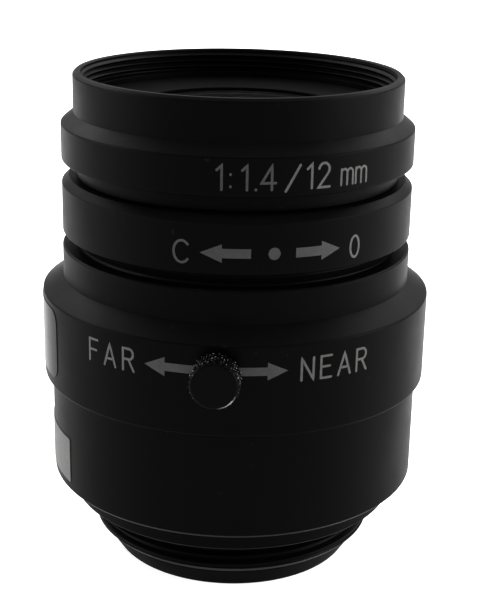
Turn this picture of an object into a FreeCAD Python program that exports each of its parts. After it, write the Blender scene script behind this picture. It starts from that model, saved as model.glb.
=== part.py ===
# C-mount machine vision lens, 12 mm focal length, standing on its rear end.
# Origin: the middle of the C-mount seat, the flat face that meets the camera.
# +Z runs along the optical axis to the front of the lens. Sizes are millimetres and degrees.
# Azimuths are seen from above: 0 faces the front (-Y), 90 the right (+X), 180 the back (+Y).
import FreeCAD, Part
import math
import os
import Sketcher

V = FreeCAD.Vector
UP = V(0, 0, 1)
PAST = 1.0  # how far a cutting tool reaches past the metal
doc = FreeCAD.newDocument("c_mount_lens")
sheet = doc.addObject("Spreadsheet::Sheet", "Sizes")


class Size:
    """A length or an angle: its value, and the text that works it out from the sheet."""

    def __init__(self, value, text):
        self.value = float(value)
        self.text = text

    def __add__(self, other):
        other = size_of(other)
        return Size(self.value + other.value, f"({self.text} + {other.text})")

    def __sub__(self, other):
        other = size_of(other)
        return Size(self.value - other.value, f"({self.text} - {other.text})")

    def __mul__(self, other):
        other = size_of(other)
        return Size(self.value * other.value, f"({self.text} * {other.text})")

    def __truediv__(self, other):
        other = size_of(other)
        return Size(self.value / other.value, f"({self.text} / {other.text})")

    def __neg__(self):
        return Size(-self.value, f"(0 - {self.text})")

    def __float__(self):
        return self.value


def size_of(thing):
    """A plain number as a Size, so that sums can mix both."""
    if isinstance(thing, Size):
        return thing
    return Size(thing, repr(float(thing)))


class Sizes:
    """The driving dimensions, one attribute for each row of the sheet."""

    def __init__(self):
        self.row = 0

    def add(self, name, value, note=""):
        """A row of the sheet, with a number or with a sum of other rows."""
        self.row += 1
        sheet.set(f"A{self.row}", name)
        sheet.set(f"B{self.row}", "=" + size_of(value).text.replace("Sizes.", ""))
        sheet.set(f"C{self.row}", note)
        sheet.setAlias(f"B{self.row}", name)
        setattr(self, name, Size(float(value), f"Sizes.{name}"))


S = Sizes()
for name, value, note in [
    # fits and small edges
    ("slide_fit", 0.03, "radial clearance of parts that slide or turn on each other"),
    ("screw_fit", 0.05, "radial clearance of a screw or pad in its hole"),
    ("seat_fit", 0.05, "radial clearance of a part screwed or laid in its bore"),
    ("end_float", 0.05, "end clearance of a ring that turns between two faces"),
    ("press_fit", 0.01, "radial clearance of a pin pressed in its hole"),
    ("edge_break", 0.12, "small chamfer on turned edges"),
    ("groove_play_angle", 8, "sweep of a groove beyond the turn that it allows, in degrees"),
    # mount barrel
    ("thread_radius", 12.7, "C-mount thread, 25.4 mm across"),
    ("thread_length", 2.95, "C-mount thread from the seat to its end chamfer"),
    ("thread_chamfer", 0.5, "end chamfer of the thread"),
    ("seat_land", 2.0, "C-mount seat outside the thread"),
    ("seat_step", 1.95, "height of the seat step below the barrel"),
    ("barrel_overhang", 1.75, "mount barrel outside the seat"),
    ("barrel_chamfer", 0.3, "lower edge of the mount barrel"),
    ("barrel_length", 11.05, "mount barrel above the seat step"),
    ("spigot_step", 1.05, "spigot that the focus ring turns on, below the barrel's surface"),
    ("spigot_length", 5.2, "spigot above the barrel's shoulder"),
    ("rear_wall", 0.8, "rear bore inside the sleeve's spigot"),
    ("guide_bore_room", 0.8, "guide bore below the lens barrel"),
    # rear sleeve
    ("rear_reach", 5.5, "depth of the rear end below the seat"),
    ("rear_end_step", 1.78, "rear end of the sleeve inside the thread"),
    ("sleeve_step", 0.15, "sleeve's shoulder inside the thread's end chamfer"),
    ("sleeve_thread_wall", 1.5, "sleeve's spigot inside the thread"),
    ("sleeve_spigot_length", 1.7, "sleeve's spigot in the mount barrel"),
    ("sleeve_step_in", 0.2, "bore of the sleeve inside the rear bore"),
    # focus ring
    ("focus_overlap", 1.74, "focus ring below the barrel's shoulder"),
    ("focus_proud", 0.67, "focus ring above the barrel's surface"),
    ("shoulder_wall", 0.71, "wall above the helicoid's step"),
    ("neck_wall", 1.3, "wall of the focus ring's neck round the helicoid"),
    ("shoulder_length", 1.19, "tapered shoulder of the focus ring"),
    ("neck_length", 2.78, "neck of the focus ring"),
    ("focus_chamfer", 0.25, "lower edge of the focus ring"),
    ("skirt_clear", 0.2, "end clearance between the focus ring and the mount barrel"),
    ("focus_turn_angle", 55, "turn of the focus ring to each side, in degrees"),
    ("focus_lead", 3.3, "travel of the lens barrel for a full turn of the focus ring"),
    # focus stop screw and guide pin
    ("stop_rise", 2.2, "stop screw and guide pin above the barrel's shoulder"),
    ("stop_tip_radius", 0.75, "tip of the stop screw"),
    ("stop_tip_depth", 0.9, "reach of the tip into its groove"),
    ("stop_groove_depth", 1.0, "depth of the groove in the spigot"),
    ("stop_sunk", 0.15, "depth of the stop screw's head below the ring"),
    ("small_screw_radius", 0.95, "M2 screws"),
    ("socket_radius", 0.5, "hexagon socket, across its corners"),
    ("socket_depth", 0.8, "depth of a hexagon socket"),
    ("guide_pin_radius", 1.0, "guide pin"),
    ("guide_pin_reach", 0.9, "reach of the guide pin inside the guide bore"),
    ("guide_pin_sunk", 0.1, "outer end of the guide pin below the spigot's surface"),
    ("guide_slot_play", 0.04, "clearance beside the guide pin"),
    ("guide_slot_end", 0.2, "clearance past the guide pin at each end of its travel"),
    ("guide_azimuth", 90, "side of the guide pin"),
    # lens barrel
    ("tube_step", 1.0, "lower tube of the lens barrel inside its helicoid part"),
    ("tube_wall", 1.35, "wall of the lower tube, round the rear cell and the iris"),
    ("tube_length", 11.0, "lower tube of the lens barrel"),
    ("helicoid_step", 1.4, "helicoid part of the lens barrel inside the spigot's surface"),
    ("helicoid_room", 0.6, "helicoid part above the step in the focus ring"),
    ("spigot_clear", 0.2, "end clearance between the spigot and the focus ring"),
    ("nose_step", 0.7, "nose that the front ring is screwed on, inside the journal"),
    ("nose_drop", 0.16, "top of the nose below the narrow front part"),
    ("second_wall", 1.4, "bore of the second element outside the light opening"),
    ("roof_thickness", 0.8, "wall between the iris and the second element"),
    ("stop_bore_step", 0.1, "light opening outside the cam ring's"),
    ("iris_room", 4.0, "height of the iris chamber"),
    # iris ring
    ("focus_gap", 1.19, "gap between the focus ring's neck and the iris ring"),
    ("iris_cover", 1.01, "iris ring above the iris chamber"),
    ("iris_wall", 1.67, "wall of the iris ring"),
    ("iris_chamfer", 0.6, "upper edge of the iris ring"),
    ("journal_step", 0.4, "journal that the iris ring turns on, inside the helicoid part"),
    ("iris_turn_angle", 48, "turn of the iris ring from open to closed, in degrees"),
    # front ring
    ("front_gap", 1.43, "gap between the iris ring and the front ring"),
    ("front_neck_wall", 1.1, "neck between the front ring and the iris ring, round the nose"),
    ("front_length", 3.12, "straight part of the front ring"),
    ("hood_wall", 0.69, "narrow front part, round the filter thread"),
    ("taper_length", 0.9, "taper of the front ring"),
    ("hood_length", 3.42, "narrow front part"),
    ("lip_chamfer", 0.26, "chamfer round the front face"),
    ("filter_step", 0.6, "filter thread outside the nose; the thread is M27 at this size"),
    ("filter_depth", 2.1, "depth of the filter thread"),
    ("ring_step", 0.37, "bore for the front retaining ring, inside the filter thread"),
    # front optics
    ("front_glass_wall", 1.03, "wall of the nose round the front element, with the fit"),
    ("glass_proud", 0.1, "front element's rim above the nose"),
    ("front_glass_edge", 3.0, "thickness of the front element's rim"),
    ("front_clear_step", 0.77, "front element's front face inside its rim"),
    ("front_glass_sag", 0.7, "bulge of its front face"),
    ("front_glass_rear_sag", 2.0, "hollow of its rear face"),
    ("retainer_lip", 1.8, "lip of the front retaining ring over the front element"),
    ("retainer_thickness", 0.9, "front retaining ring"),
    ("retainer_flat", 0.38, "flat face round the ring's cone"),
    ("retainer_seat", 0.1, "glass between its front face and the ring's seat"),
    ("lip_clear", 0.35, "height of the lip above the glass's rim"),
    ("lip_edge", 0.15, "thickness of the lip's edge"),
    ("wrench_slot", 1.0, "width of a slot for a spanner wrench"),
    ("wrench_depth", 0.4, "depth of a slot for a spanner wrench"),
    ("second_edge", 1.7, "thickness of the second element's rim"),
    ("second_clear_step", 1.9, "second element's front face inside its bore"),
    ("second_sag", 0.7, "bulge of its front face"),
    ("second_rear_step", 2.6, "its rear face inside its bore"),
    ("second_rear_sag", 0.4, "hollow of its rear face"),
    ("spacer_step", 1.6, "opening of the front spacer inside the bore"),
    # iris
    ("blade_count", 6, "number of iris blades"),
    ("blade_width", 3.4, "width of a blade"),
    ("blade_inset", 1.0, "outer edge of an open blade inside the pivots"),
    ("blade_arc_angle", 125, "length of a blade round the axis, in degrees"),
    ("blade_thickness", 0.1, "blade"),
    ("blade_pitch", 0.16, "height from one blade to the next"),
    ("blade_gap", 0.07, "gap under the lowest blade"),
    ("pivot_inset", 2.1, "circle of the pivot pins inside the base ring's rim"),
    ("drive_angle", 16, "angle from a blade's pivot pin to its drive pin"),
    ("blade_turn_angle", 31.2, "turn of a blade on its pivot, in degrees"),
    ("blade_pin", 0.4, "radius of the pins on a blade"),
    ("blade_lug", 0.75, "radius of the lug round a pin"),
    ("pin_clear", 0.05, "clearance round a blade's pin"),
    ("blade_drive_drop", 0.85, "upper end of the drive pins below the iris chamber's roof"),
    ("blade_root_inset", 0.4, "start of a blade's root outside the open aperture"),
    ("base_clear", 0.1, "opening of the iris base ring outside the open aperture"),
    ("base_drop", 0.17, "lower face of the iris base ring below the iris ring"),
    ("base_plate", 0.8, "thickness of the iris base ring's plate"),
    ("base_rim", 1.1, "height of the iris base ring's rim above its plate"),
    ("base_rim_wall", 0.65, "wall of the iris base ring's rim"),
    ("cam_rim", 1.2, "opening of the iris cam ring inside the pivots"),
    ("drive_pin_radius", 0.6, "iris drive pin"),
    ("drive_pin_rise", 2.68, "iris drive pin above the iris ring's lower edge"),
    ("drive_pin_step", 0.1, "inner end of the iris drive pin inside the base ring's rim"),
    ("drive_head_radius", 1.1, "head of the iris drive pin"),
    ("drive_head_height", 0.6, "head of the iris drive pin"),
    ("drive_head_sunk", 0.2, "head of the iris drive pin below the ring"),
    ("drive_slot", 0.3, "screwdriver slot, its width and depth"),
    ("drive_window_play", 0.1, "clearance above and below the iris drive pin"),
    ("drive_azimuth", 115, "side of the iris drive pin"),
    ("drive_notch_play", 0.15, "bottom of the notch in the cam ring beyond the pin"),
    # lock screws
    ("lock_head_radius", 2.03, "knurled head"),
    ("lock_head_length", 2.2, "knurled head along its axis"),
    ("lock_head_chamfer", 0.3, "chamfer of the head's face"),
    ("lock_head_gap", 0.3, "gap between the head and its ring"),
    ("lock_collar_radius", 1.3, "collar under the head"),
    ("knurl_count", 24, "grooves round the head"),
    ("knurl_depth", 0.16, "depth of a groove"),
    ("knurl_cutter", 0.384, "centre to corner of the three-sided cutter"),
    ("lock_pad_length", 0.6, "nylon pad under the screw"),
    ("lock_pad_gap", 0.13, "gap between the pad and the part it presses on"),
    ("lock_play", 0.02, "gap between the screw's end and its pad"),
    ("focus_lock_rise", 3.7, "focus lock screw above the barrel's shoulder"),
    ("focus_lock_azimuth", -4.4, "side of the focus lock screw"),
    ("iris_lock_azimuth", 180, "side of the iris lock screw"),
    # rear optics
    ("cell_thread_rise", 0.8, "lower end of the threaded part above the doublet's seat"),
    ("cell_play", 0.4, "rear tube of the rear cell inside the sleeve"),
    ("cell_sunk", 0.9, "rear end of the rear cell inside the sleeve's end"),
    ("cell_wall", 4.75, "wall round the middle elements"),
    ("waist_step", 0.85, "light opening below the doublet inside its bore"),
    ("cell_tube_wall", 2.2, "wall round the rear element"),
    ("rear_glass_edge", 3.4, "thickness of the rear element's rim"),
    ("doublet_rear_edge", 3.4, "thickness of the rear glass's rim"),
    ("doublet_front_edge", 2.8, "thickness of the front glass's rim, with the cement"),
    ("cement", 0.02, "cement between the two glasses"),
    ("spacer_length", 1.0, "rear spacer"),
    ("third_edge", 2.2, "thickness of the third element's rim"),
    ("cell_ring_clear", 0.5, "cell retaining ring below the iris base ring"),
    ("cell_ring_thickness", 1.0, "cell retaining ring"),
    ("middle_step", 1.35, "openings of the rings beside the middle elements, inside their bore"),
    ("cemented_step", 0.15, "cemented face inside the bore"),
    ("doublet_sag", -1.1, "middle of the cemented face below its rim"),
    ("doublet_rear_sag", -0.5, "middle of the doublet's rear face below its rim"),
    ("doublet_front_sag", 0.7, "bulge of the doublet's front face"),
    ("third_step", 1.55, "faces of the third element inside the bore"),
    ("third_rear_sag", 0.5, "hollow of its rear face"),
    ("third_front_sag", 0.4, "bulge of its front face"),
    ("rear_clear_step", 0.1, "rear face of the rear element inside the ring's opening"),
    ("rear_sag", -0.8, "middle of that face below its rim"),
    ("rear_front_step", 1.8, "its front face inside its bore"),
    ("rear_front_sag", 0.6, "bulge of that face"),
    ("rear_ring_thickness", 1.5, "rear retaining ring"),
    ("rear_ring_sunk", 2.2, "rear face of the rear retaining ring inside the cell's end"),
    ("rear_ring_lip", 1.2, "rear retaining ring's opening inside its bore"),
]:
    S.add(name, value, note)
doc.recompute()

# Each diameter follows from the one that it fits or stands beside, from the mount thread inwards.
S.add("seat_radius", S.thread_radius + S.seat_land)
S.add("barrel_radius", S.seat_radius + S.barrel_overhang)
S.add("spigot_radius", S.barrel_radius - S.spigot_step)
S.add("focus_radius", S.barrel_radius + S.focus_proud)
S.add("helicoid_radius", S.spigot_radius - S.helicoid_step)
S.add("neck_radius", S.helicoid_radius + S.neck_wall)
S.add("tube_radius", S.helicoid_radius - S.tube_step)
S.add("tube_bore", S.tube_radius - S.tube_wall)
S.add("cell_radius", S.tube_bore - S.seat_fit)
S.add("journal_radius", S.helicoid_radius - S.journal_step)
S.add("iris_radius", S.journal_radius + S.iris_wall)
S.add("front_radius", S.iris_radius)
S.add("nose_radius", S.journal_radius - S.nose_step)
S.add("front_neck_radius", S.nose_radius + S.front_neck_wall)
S.add("filter_radius", S.nose_radius + S.filter_step)
S.add("hood_radius", S.filter_radius + S.hood_wall)
S.add("ring_bore", S.filter_radius - S.ring_step)
S.add("front_glass_radius", S.nose_radius - S.front_glass_wall)
S.add("front_glass_clear", S.front_glass_radius - S.front_clear_step)
S.add("retainer_opening", S.front_glass_clear - S.retainer_lip)
S.add("base_rim_bore", S.tube_bore - S.base_rim_wall)
S.add("pivot_circle", S.base_rim_bore - S.pivot_inset)
S.add("blade_outer", S.pivot_circle - S.blade_inset)
S.add("stop_radius", S.blade_outer - S.blade_width)
S.add("base_opening", S.stop_radius + S.base_clear)
S.add("cam_inner", S.pivot_circle - S.cam_rim)
S.add("drive_pin_inner", S.base_rim_bore - S.drive_pin_step)
S.add("drive_notch_bottom", S.drive_pin_inner - S.drive_notch_play)
S.add("stop_bore", S.cam_inner + S.stop_bore_step)
S.add("second_bore", S.stop_bore + S.second_wall)
S.add("spacer_opening", S.second_bore - S.spacer_step)
S.add("second_clear", S.second_bore - S.second_clear_step)
S.add("second_rear_clear", S.second_bore - S.second_rear_step)
S.add("front_glass_rear_clear", S.second_clear)
S.add("cell_bore", S.cell_radius - S.cell_wall)
S.add("cell_waist", S.cell_bore - S.waist_step)
S.add("middle_opening", S.cell_bore - S.middle_step)
S.add("doublet_clear", S.cell_bore - S.cemented_step)
S.add("third_clear", S.cell_bore - S.third_step)
S.add("rear_end_radius", S.thread_radius - S.rear_end_step)
S.add("sleeve_spigot_radius", S.thread_radius - S.sleeve_thread_wall)
S.add("rear_bore", S.sleeve_spigot_radius - S.rear_wall)
S.add("sleeve_bore", S.rear_bore - S.sleeve_step_in)
S.add("cell_tube_radius", S.sleeve_bore - S.cell_play)
S.add("cell_rear_bore", S.cell_tube_radius - S.cell_tube_wall)
S.add("rear_opening", S.cell_rear_bore - S.rear_ring_lip)
S.add("rear_clear", S.rear_opening - S.rear_clear_step)
S.add("rear_front_clear", S.cell_rear_bore - S.rear_front_step)

# Heights above the mount's seat, in the same way.
S.add("barrel_top", S.seat_step + S.barrel_length)
S.add("spigot_top", S.barrel_top + S.spigot_length)
S.add("focus_bottom", S.barrel_top - S.focus_overlap)
S.add("helicoid_seat", S.spigot_top + S.spigot_clear)
S.add("focus_edge", S.helicoid_seat + S.shoulder_wall)
S.add("neck_bottom", S.focus_edge + S.shoulder_length)
S.add("neck_top", S.neck_bottom + S.neck_length)
S.add("stop_height", S.barrel_top + S.stop_rise)
S.add("focus_lock_height", S.barrel_top + S.focus_lock_rise)
S.add("helicoid_bottom", S.helicoid_seat + S.helicoid_room)
S.add("tube_bottom", S.helicoid_bottom - S.tube_length)
S.add("rear_bore_top", S.tube_bottom - S.guide_bore_room)
S.add("sleeve_spigot_top", S.sleeve_spigot_length - S.thread_length)
S.add("iris_bottom", S.neck_top + S.focus_gap)
S.add("base_bottom", S.iris_bottom - S.base_drop)
S.add("iris_roof", S.base_bottom + S.iris_room)
S.add("iris_top", S.iris_roof + S.iris_cover)
S.add("drive_pin_height", S.iris_bottom + S.drive_pin_rise)
S.add("blade_drive_top", S.iris_roof - S.blade_drive_drop)
S.add("front_bottom", S.iris_top + S.front_gap)
S.add("front_edge", S.front_bottom + S.front_length)
S.add("hood_bottom", S.front_edge + S.taper_length)
S.add("hood_top", S.hood_bottom + S.hood_length)
S.add("nose_top", S.hood_bottom - S.nose_drop)
S.add("front_glass_rim", S.nose_top + S.glass_proud)
S.add("front_seat", S.front_glass_rim - S.front_glass_edge)
S.add("retainer_top", S.front_glass_rim + S.retainer_thickness)
S.add("second_seat", S.iris_roof + S.roof_thickness)
S.add("second_rim", S.second_seat + S.second_edge)
S.add("cell_ring_top", S.base_bottom - S.cell_ring_clear)
S.add("third_rim", S.cell_ring_top - S.cell_ring_thickness)
S.add("doublet_rim", S.third_rim - S.third_edge - S.spacer_length)
S.add("doublet_joint", S.doublet_rim - S.doublet_front_edge)
S.add("doublet_seat", S.doublet_joint - S.doublet_rear_edge)
S.add("cell_thread_bottom", S.doublet_seat + S.cell_thread_rise)
S.add("cell_bottom", S.cell_sunk - S.rear_reach)
S.add("rear_ring_bottom", S.cell_bottom + S.rear_ring_sunk)
S.add("rear_rim", S.rear_ring_bottom + S.rear_ring_thickness)
S.add("cell_rear_seat", S.rear_rim + S.rear_glass_edge)
doc.recompute()


def bind(thing, path, size):
    """Set one property of an object from the sheet."""
    thing.setExpression(path, size_of(size).text)


def origin_plane(body, role):
    """One of a body's own origin planes."""
    return next(f for f in body.Origin.OriginFeatures if f.Role == role)


def pin_point(sketch, line, end, x, y):
    """Tie one end of a line to its place, measured from the sketch's origin."""
    for kind, axis, size in (("DistanceX", -2, x), ("DistanceY", -1, y)):
        if not isinstance(size, Size) and float(size) == 0.0:
            sketch.addConstraint(Sketcher.Constraint("PointOnObject", line, end, axis))
            continue
        size = size_of(size)
        index = sketch.addConstraint(Sketcher.Constraint(kind, -1, 1, line, end, size.value))
        sketch.setExpression(f"Constraints[{index}]", size.text)


def new_sketch(body, name, role):
    """An empty sketch on one of the body's origin planes."""
    sketch = body.newObject("Sketcher::SketchObject", name)
    sketch.AttachmentSupport = (origin_plane(body, role), [""])
    sketch.MapMode = "FlatFace"
    return sketch


def polygon_sketch(body, name, role, outline):
    """A closed outline of straight lines through the given points."""
    sketch = new_sketch(body, name, role)
    points = [V(float(x), float(y), 0) for x, y in outline]
    count = len(points)
    for i in range(count):
        sketch.addGeometry(Part.LineSegment(points[i], points[(i + 1) % count]))
    for i in range(count):
        sketch.addConstraint(Sketcher.Constraint("Coincident", i, 2, (i + 1) % count, 1))
    for i, (x, y) in enumerate(outline):
        pin_point(sketch, i, 1, x, y)
    return sketch


def revolve(body, sketch):
    """Turn a sketch about the optical axis of its body."""
    turn = body.newObject("PartDesign::Revolution", sketch.Name + "_turned")
    turn.Profile = sketch
    turn.ReferenceAxis = (sketch, ["V_Axis"])
    turn.Angle = 360
    sketch.Visibility = False
    return turn


def turned(name, outline):
    """A ring or tube turned from a closed outline of (radius, height) points."""
    body = doc.addObject("PartDesign::Body", name)
    revolve(body, polygon_sketch(body, name + "_profile", "XZ_Plane", outline))
    return body


def cylinder(name, radius, length, placement=None, angle=None):
    """A plain cylinder, or a sector of one."""
    solid = doc.addObject("Part::Cylinder", name)
    bind(solid, "Radius", radius)
    bind(solid, "Height", length)
    if angle is not None:
        bind(solid, "Angle", angle)
    if placement is not None:
        solid.Placement = placement
    return solid


def at_height(height, turn=0.0):
    """A place on the axis, turned about it."""
    return FreeCAD.Placement(V(0, 0, float(height)), FreeCAD.Rotation(UP, float(turn)))


def radial(azimuth, height, distance=0.0):
    """A place whose own +Z points straight out of the lens at an azimuth."""
    a = math.radians(float(azimuth))
    out = V(math.sin(a), -math.cos(a), 0)
    side = V(math.cos(a), math.sin(a), 0)
    rotation = FreeCAD.Rotation(side, UP, out, "ZXY")
    return FreeCAD.Placement(out * float(distance) + UP * float(height), rotation)


def cut(name, base, tools):
    """The base with the tools taken away."""
    if len(tools) > 1:
        tool = doc.addObject("Part::MultiFuse", name + "_tools")
        tool.Shapes = tools
    else:
        tool = tools[0]
    result = doc.addObject("Part::Cut", name)
    result.Base = base
    result.Tool = tool
    return result


def fuse(name, shapes):
    """Several solids made one."""
    result = doc.addObject("Part::MultiFuse", name)
    result.Shapes = shapes
    result.Refine = True
    return result


def mount_barrel():
    """The fixed part: C-mount thread and seat, barrel wall, and the spigot under the focus ring."""
    s = S
    thread_end = -(s.thread_length + s.thread_chamfer)
    body = turned("mount_barrel_turned", [
        (s.sleeve_spigot_radius + s.seat_fit, thread_end),
        (s.thread_radius - s.thread_chamfer, thread_end),
        (s.thread_radius, -s.thread_length),
        (s.thread_radius, 0),
        (s.seat_radius - s.edge_break, 0),
        (s.seat_radius, s.edge_break),
        (s.seat_radius, s.seat_step),
        (s.barrel_radius - s.barrel_chamfer, s.seat_step),
        (s.barrel_radius, s.seat_step + s.barrel_chamfer),
        (s.barrel_radius, s.barrel_top),
        (s.spigot_radius, s.barrel_top),
        (s.spigot_radius, s.spigot_top),
        (s.tube_radius + s.slide_fit, s.spigot_top),
        (s.tube_radius + s.slide_fit, s.rear_bore_top),
        (s.rear_bore, s.rear_bore_top),
        (s.rear_bore, s.sleeve_spigot_top + s.end_float),
        (s.sleeve_spigot_radius + s.seat_fit, s.sleeve_spigot_top + s.end_float),
    ])
    sweep = s.focus_turn_angle * 2 + s.groove_play_angle
    start = 90 - float(sweep) / 2
    low = s.stop_height - s.stop_tip_radius - s.screw_fit
    tall = (s.stop_tip_radius + s.screw_fit) * 2
    ring = cylinder("stop_groove_outer", s.spigot_radius + PAST, tall, at_height(low, start), sweep)
    core = cylinder("stop_groove_core", s.spigot_radius - s.stop_groove_depth, tall, at_height(low))
    groove = cut("stop_groove", ring, [core])
    hole = cylinder("guide_pin_hole", s.guide_pin_radius + s.press_fit, s.spigot_radius,
                    radial(s.guide_azimuth, s.stop_height, s.tube_radius - PAST))
    return cut("mount_barrel", body, [groove, hole])


def rear_sleeve():
    """The tapered ring at the rear end that guards the rear cell."""
    s = S
    shoulder = -(s.thread_length + s.thread_chamfer)
    return turned("rear_sleeve", [
        (s.sleeve_bore, s.sleeve_spigot_top),
        (s.sleeve_bore, -s.rear_reach + s.edge_break),
        (s.sleeve_bore + s.edge_break, -s.rear_reach),
        (s.rear_end_radius - s.edge_break, -s.rear_reach),
        (s.rear_end_radius, -s.rear_reach + s.edge_break),
        (s.thread_radius - s.thread_chamfer - s.sleeve_step, shoulder - s.sleeve_step),
        (s.thread_radius - s.thread_chamfer - s.sleeve_step, shoulder),
        (s.sleeve_spigot_radius, shoulder),
        (s.sleeve_spigot_radius, s.sleeve_spigot_top),
    ])


def guide_pin():
    """The pin that keeps the lens barrel from turning."""
    s = S
    inner = s.tube_radius - s.guide_pin_reach
    length = s.spigot_radius - s.guide_pin_sunk - inner
    return cylinder("guide_pin", s.guide_pin_radius, length,
                    radial(s.guide_azimuth, s.stop_height, inner))


def focus_ring():
    """The focus ring: grip, shoulder and neck, with two screw holes through its wall."""
    s = S
    spigot_bore = s.spigot_radius + s.slide_fit
    body = turned("focus_ring_turned", [
        (s.barrel_radius + s.slide_fit, s.focus_bottom),
        (s.focus_radius - s.focus_chamfer, s.focus_bottom),
        (s.focus_radius, s.focus_bottom + s.focus_chamfer),
        (s.focus_radius, s.focus_edge),
        (s.neck_radius, s.neck_bottom),
        (s.neck_radius, s.neck_top - s.edge_break),
        (s.neck_radius - s.edge_break, s.neck_top),
        (s.helicoid_radius + s.slide_fit, s.neck_top),
        (s.helicoid_radius + s.slide_fit, s.helicoid_seat),
        (spigot_bore, s.helicoid_seat),
        (spigot_bore, s.barrel_top + s.skirt_clear),
        (s.barrel_radius + s.slide_fit, s.barrel_top + s.skirt_clear),
    ])
    lock = cylinder("focus_lock_hole", s.small_screw_radius + s.screw_fit, s.focus_radius,
                    radial(s.focus_lock_azimuth, s.focus_lock_height, s.spigot_radius - PAST))
    stop = cylinder("focus_stop_hole", s.small_screw_radius + s.screw_fit, s.focus_radius,
                    radial(180, s.stop_height, s.spigot_radius - PAST))
    return cut("focus_ring", body, [lock, stop])


def focus_stop_screw():
    """The headless screw that keeps the focus ring on its spigot and ends its turn."""
    s = S
    body = turned("focus_stop_screw_turned", [
        (0, s.spigot_radius - s.stop_tip_depth),
        (s.stop_tip_radius, s.spigot_radius - s.stop_tip_depth),
        (s.stop_tip_radius, s.spigot_radius + s.screw_fit * 2),
        (s.small_screw_radius, s.spigot_radius + s.screw_fit * 2),
        (s.small_screw_radius, s.focus_radius - s.stop_sunk),
        (0, s.focus_radius - s.stop_sunk),
    ])
    socket = doc.addObject("Part::Prism", "focus_stop_socket")
    socket.Polygon = 6
    bind(socket, "Circumradius", s.socket_radius)
    bind(socket, "Height", s.socket_depth + PAST)
    socket.Placement = at_height(s.focus_radius - s.stop_sunk - s.socket_depth)
    screw = cut("focus_stop_screw", body, [socket])
    screw.Placement = radial(180, s.stop_height)
    return screw


def lock_pad(name, pressed, azimuth, height):
    """The nylon pad between a lock screw and the part that it presses on."""
    start = pressed + S.lock_pad_gap
    return cylinder(name, S.small_screw_radius, S.lock_pad_length, radial(azimuth, height, start))


def lock_screw(name, pressed, surface, azimuth, height):
    """A knurled thumb screw. Its own +Z is the distance from the optical axis."""
    s = S
    tip = pressed + s.lock_pad_gap + s.lock_pad_length + s.lock_play
    foot = surface + s.lock_head_gap
    face = foot + s.lock_head_length
    body = turned(name + "_turned", [
        (0, tip),
        (s.small_screw_radius, tip),
        (s.small_screw_radius, foot - s.edge_break),
        (s.lock_collar_radius, foot - s.edge_break),
        (s.lock_collar_radius, foot + s.edge_break),
        (s.lock_head_radius - s.edge_break, foot + s.edge_break),
        (s.lock_head_radius, foot + s.edge_break * 2),
        (s.lock_head_radius, face - s.lock_head_chamfer),
        (s.lock_head_radius - s.lock_head_chamfer, face),
        (0, face),
    ])
    grooves = []
    for i in range(int(float(s.knurl_count))):
        groove = doc.addObject("Part::Prism", f"{name}_groove_{i + 1}")
        groove.Polygon = 3
        bind(groove, "Circumradius", s.knurl_cutter)
        bind(groove, "Height", s.lock_head_length + PAST)
        turn = 360 * i / float(s.knurl_count)
        a = math.radians(turn)
        away = float(s.lock_head_radius - s.knurl_depth + s.knurl_cutter)
        spot = V(away * math.cos(a), away * math.sin(a), float(foot))
        groove.Placement = FreeCAD.Placement(spot, FreeCAD.Rotation(UP, turn + 180))
        grooves.append(groove)
    screw = cut(name, body, grooves)
    screw.Placement = radial(azimuth, height)
    return screw


def lens_barrel():
    """The sliding barrel: tube, helicoid, journal of the iris ring, and the nose of the front ring."""
    s = S
    journal_bottom = s.iris_bottom - s.end_float
    journal_top = s.iris_top + s.end_float
    front_bore = s.front_glass_radius + s.seat_fit
    body = turned("lens_barrel_turned", [
        (s.tube_bore, s.tube_bottom),
        (s.tube_radius, s.tube_bottom),
        (s.tube_radius, s.helicoid_bottom),
        (s.helicoid_radius, s.helicoid_bottom),
        (s.helicoid_radius, journal_bottom),
        (s.journal_radius, journal_bottom),
        (s.journal_radius, journal_top),
        (s.nose_radius, journal_top),
        (s.nose_radius, s.nose_top),
        (front_bore, s.nose_top),
        (front_bore, s.front_seat),
        (s.second_bore, s.front_seat),
        (s.second_bore, s.second_seat),
        (s.stop_bore, s.second_seat),
        (s.stop_bore, s.iris_roof),
        (s.tube_bore, s.iris_roof),
    ])
    travel = s.focus_lead * s.focus_turn_angle / 360
    half = s.guide_pin_radius + s.guide_slot_play
    slot = doc.addObject("Part::Box", "guide_slot")
    bind(slot, "Length", half * 2)
    reach = travel + half + s.guide_slot_end
    bind(slot, "Width", reach * 2)
    bind(slot, "Height", s.tube_radius)
    slot.Placement = radial(s.guide_azimuth, s.stop_height - reach, s.tube_bore - PAST)
    slot.Placement.Base = slot.Placement.Base - V(0, float(half), 0)
    window = s.drive_pin_radius + s.drive_window_play
    sweep = s.iris_turn_angle + s.groove_play_angle
    start = float(s.drive_azimuth) - 90 - float(s.iris_turn_angle) - float(s.groove_play_angle) / 2
    gate = cylinder("drive_window", s.journal_radius + PAST, window * 2,
                    at_height(s.drive_pin_height - window, start), sweep)
    return cut("lens_barrel", body, [slot, gate])


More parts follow.
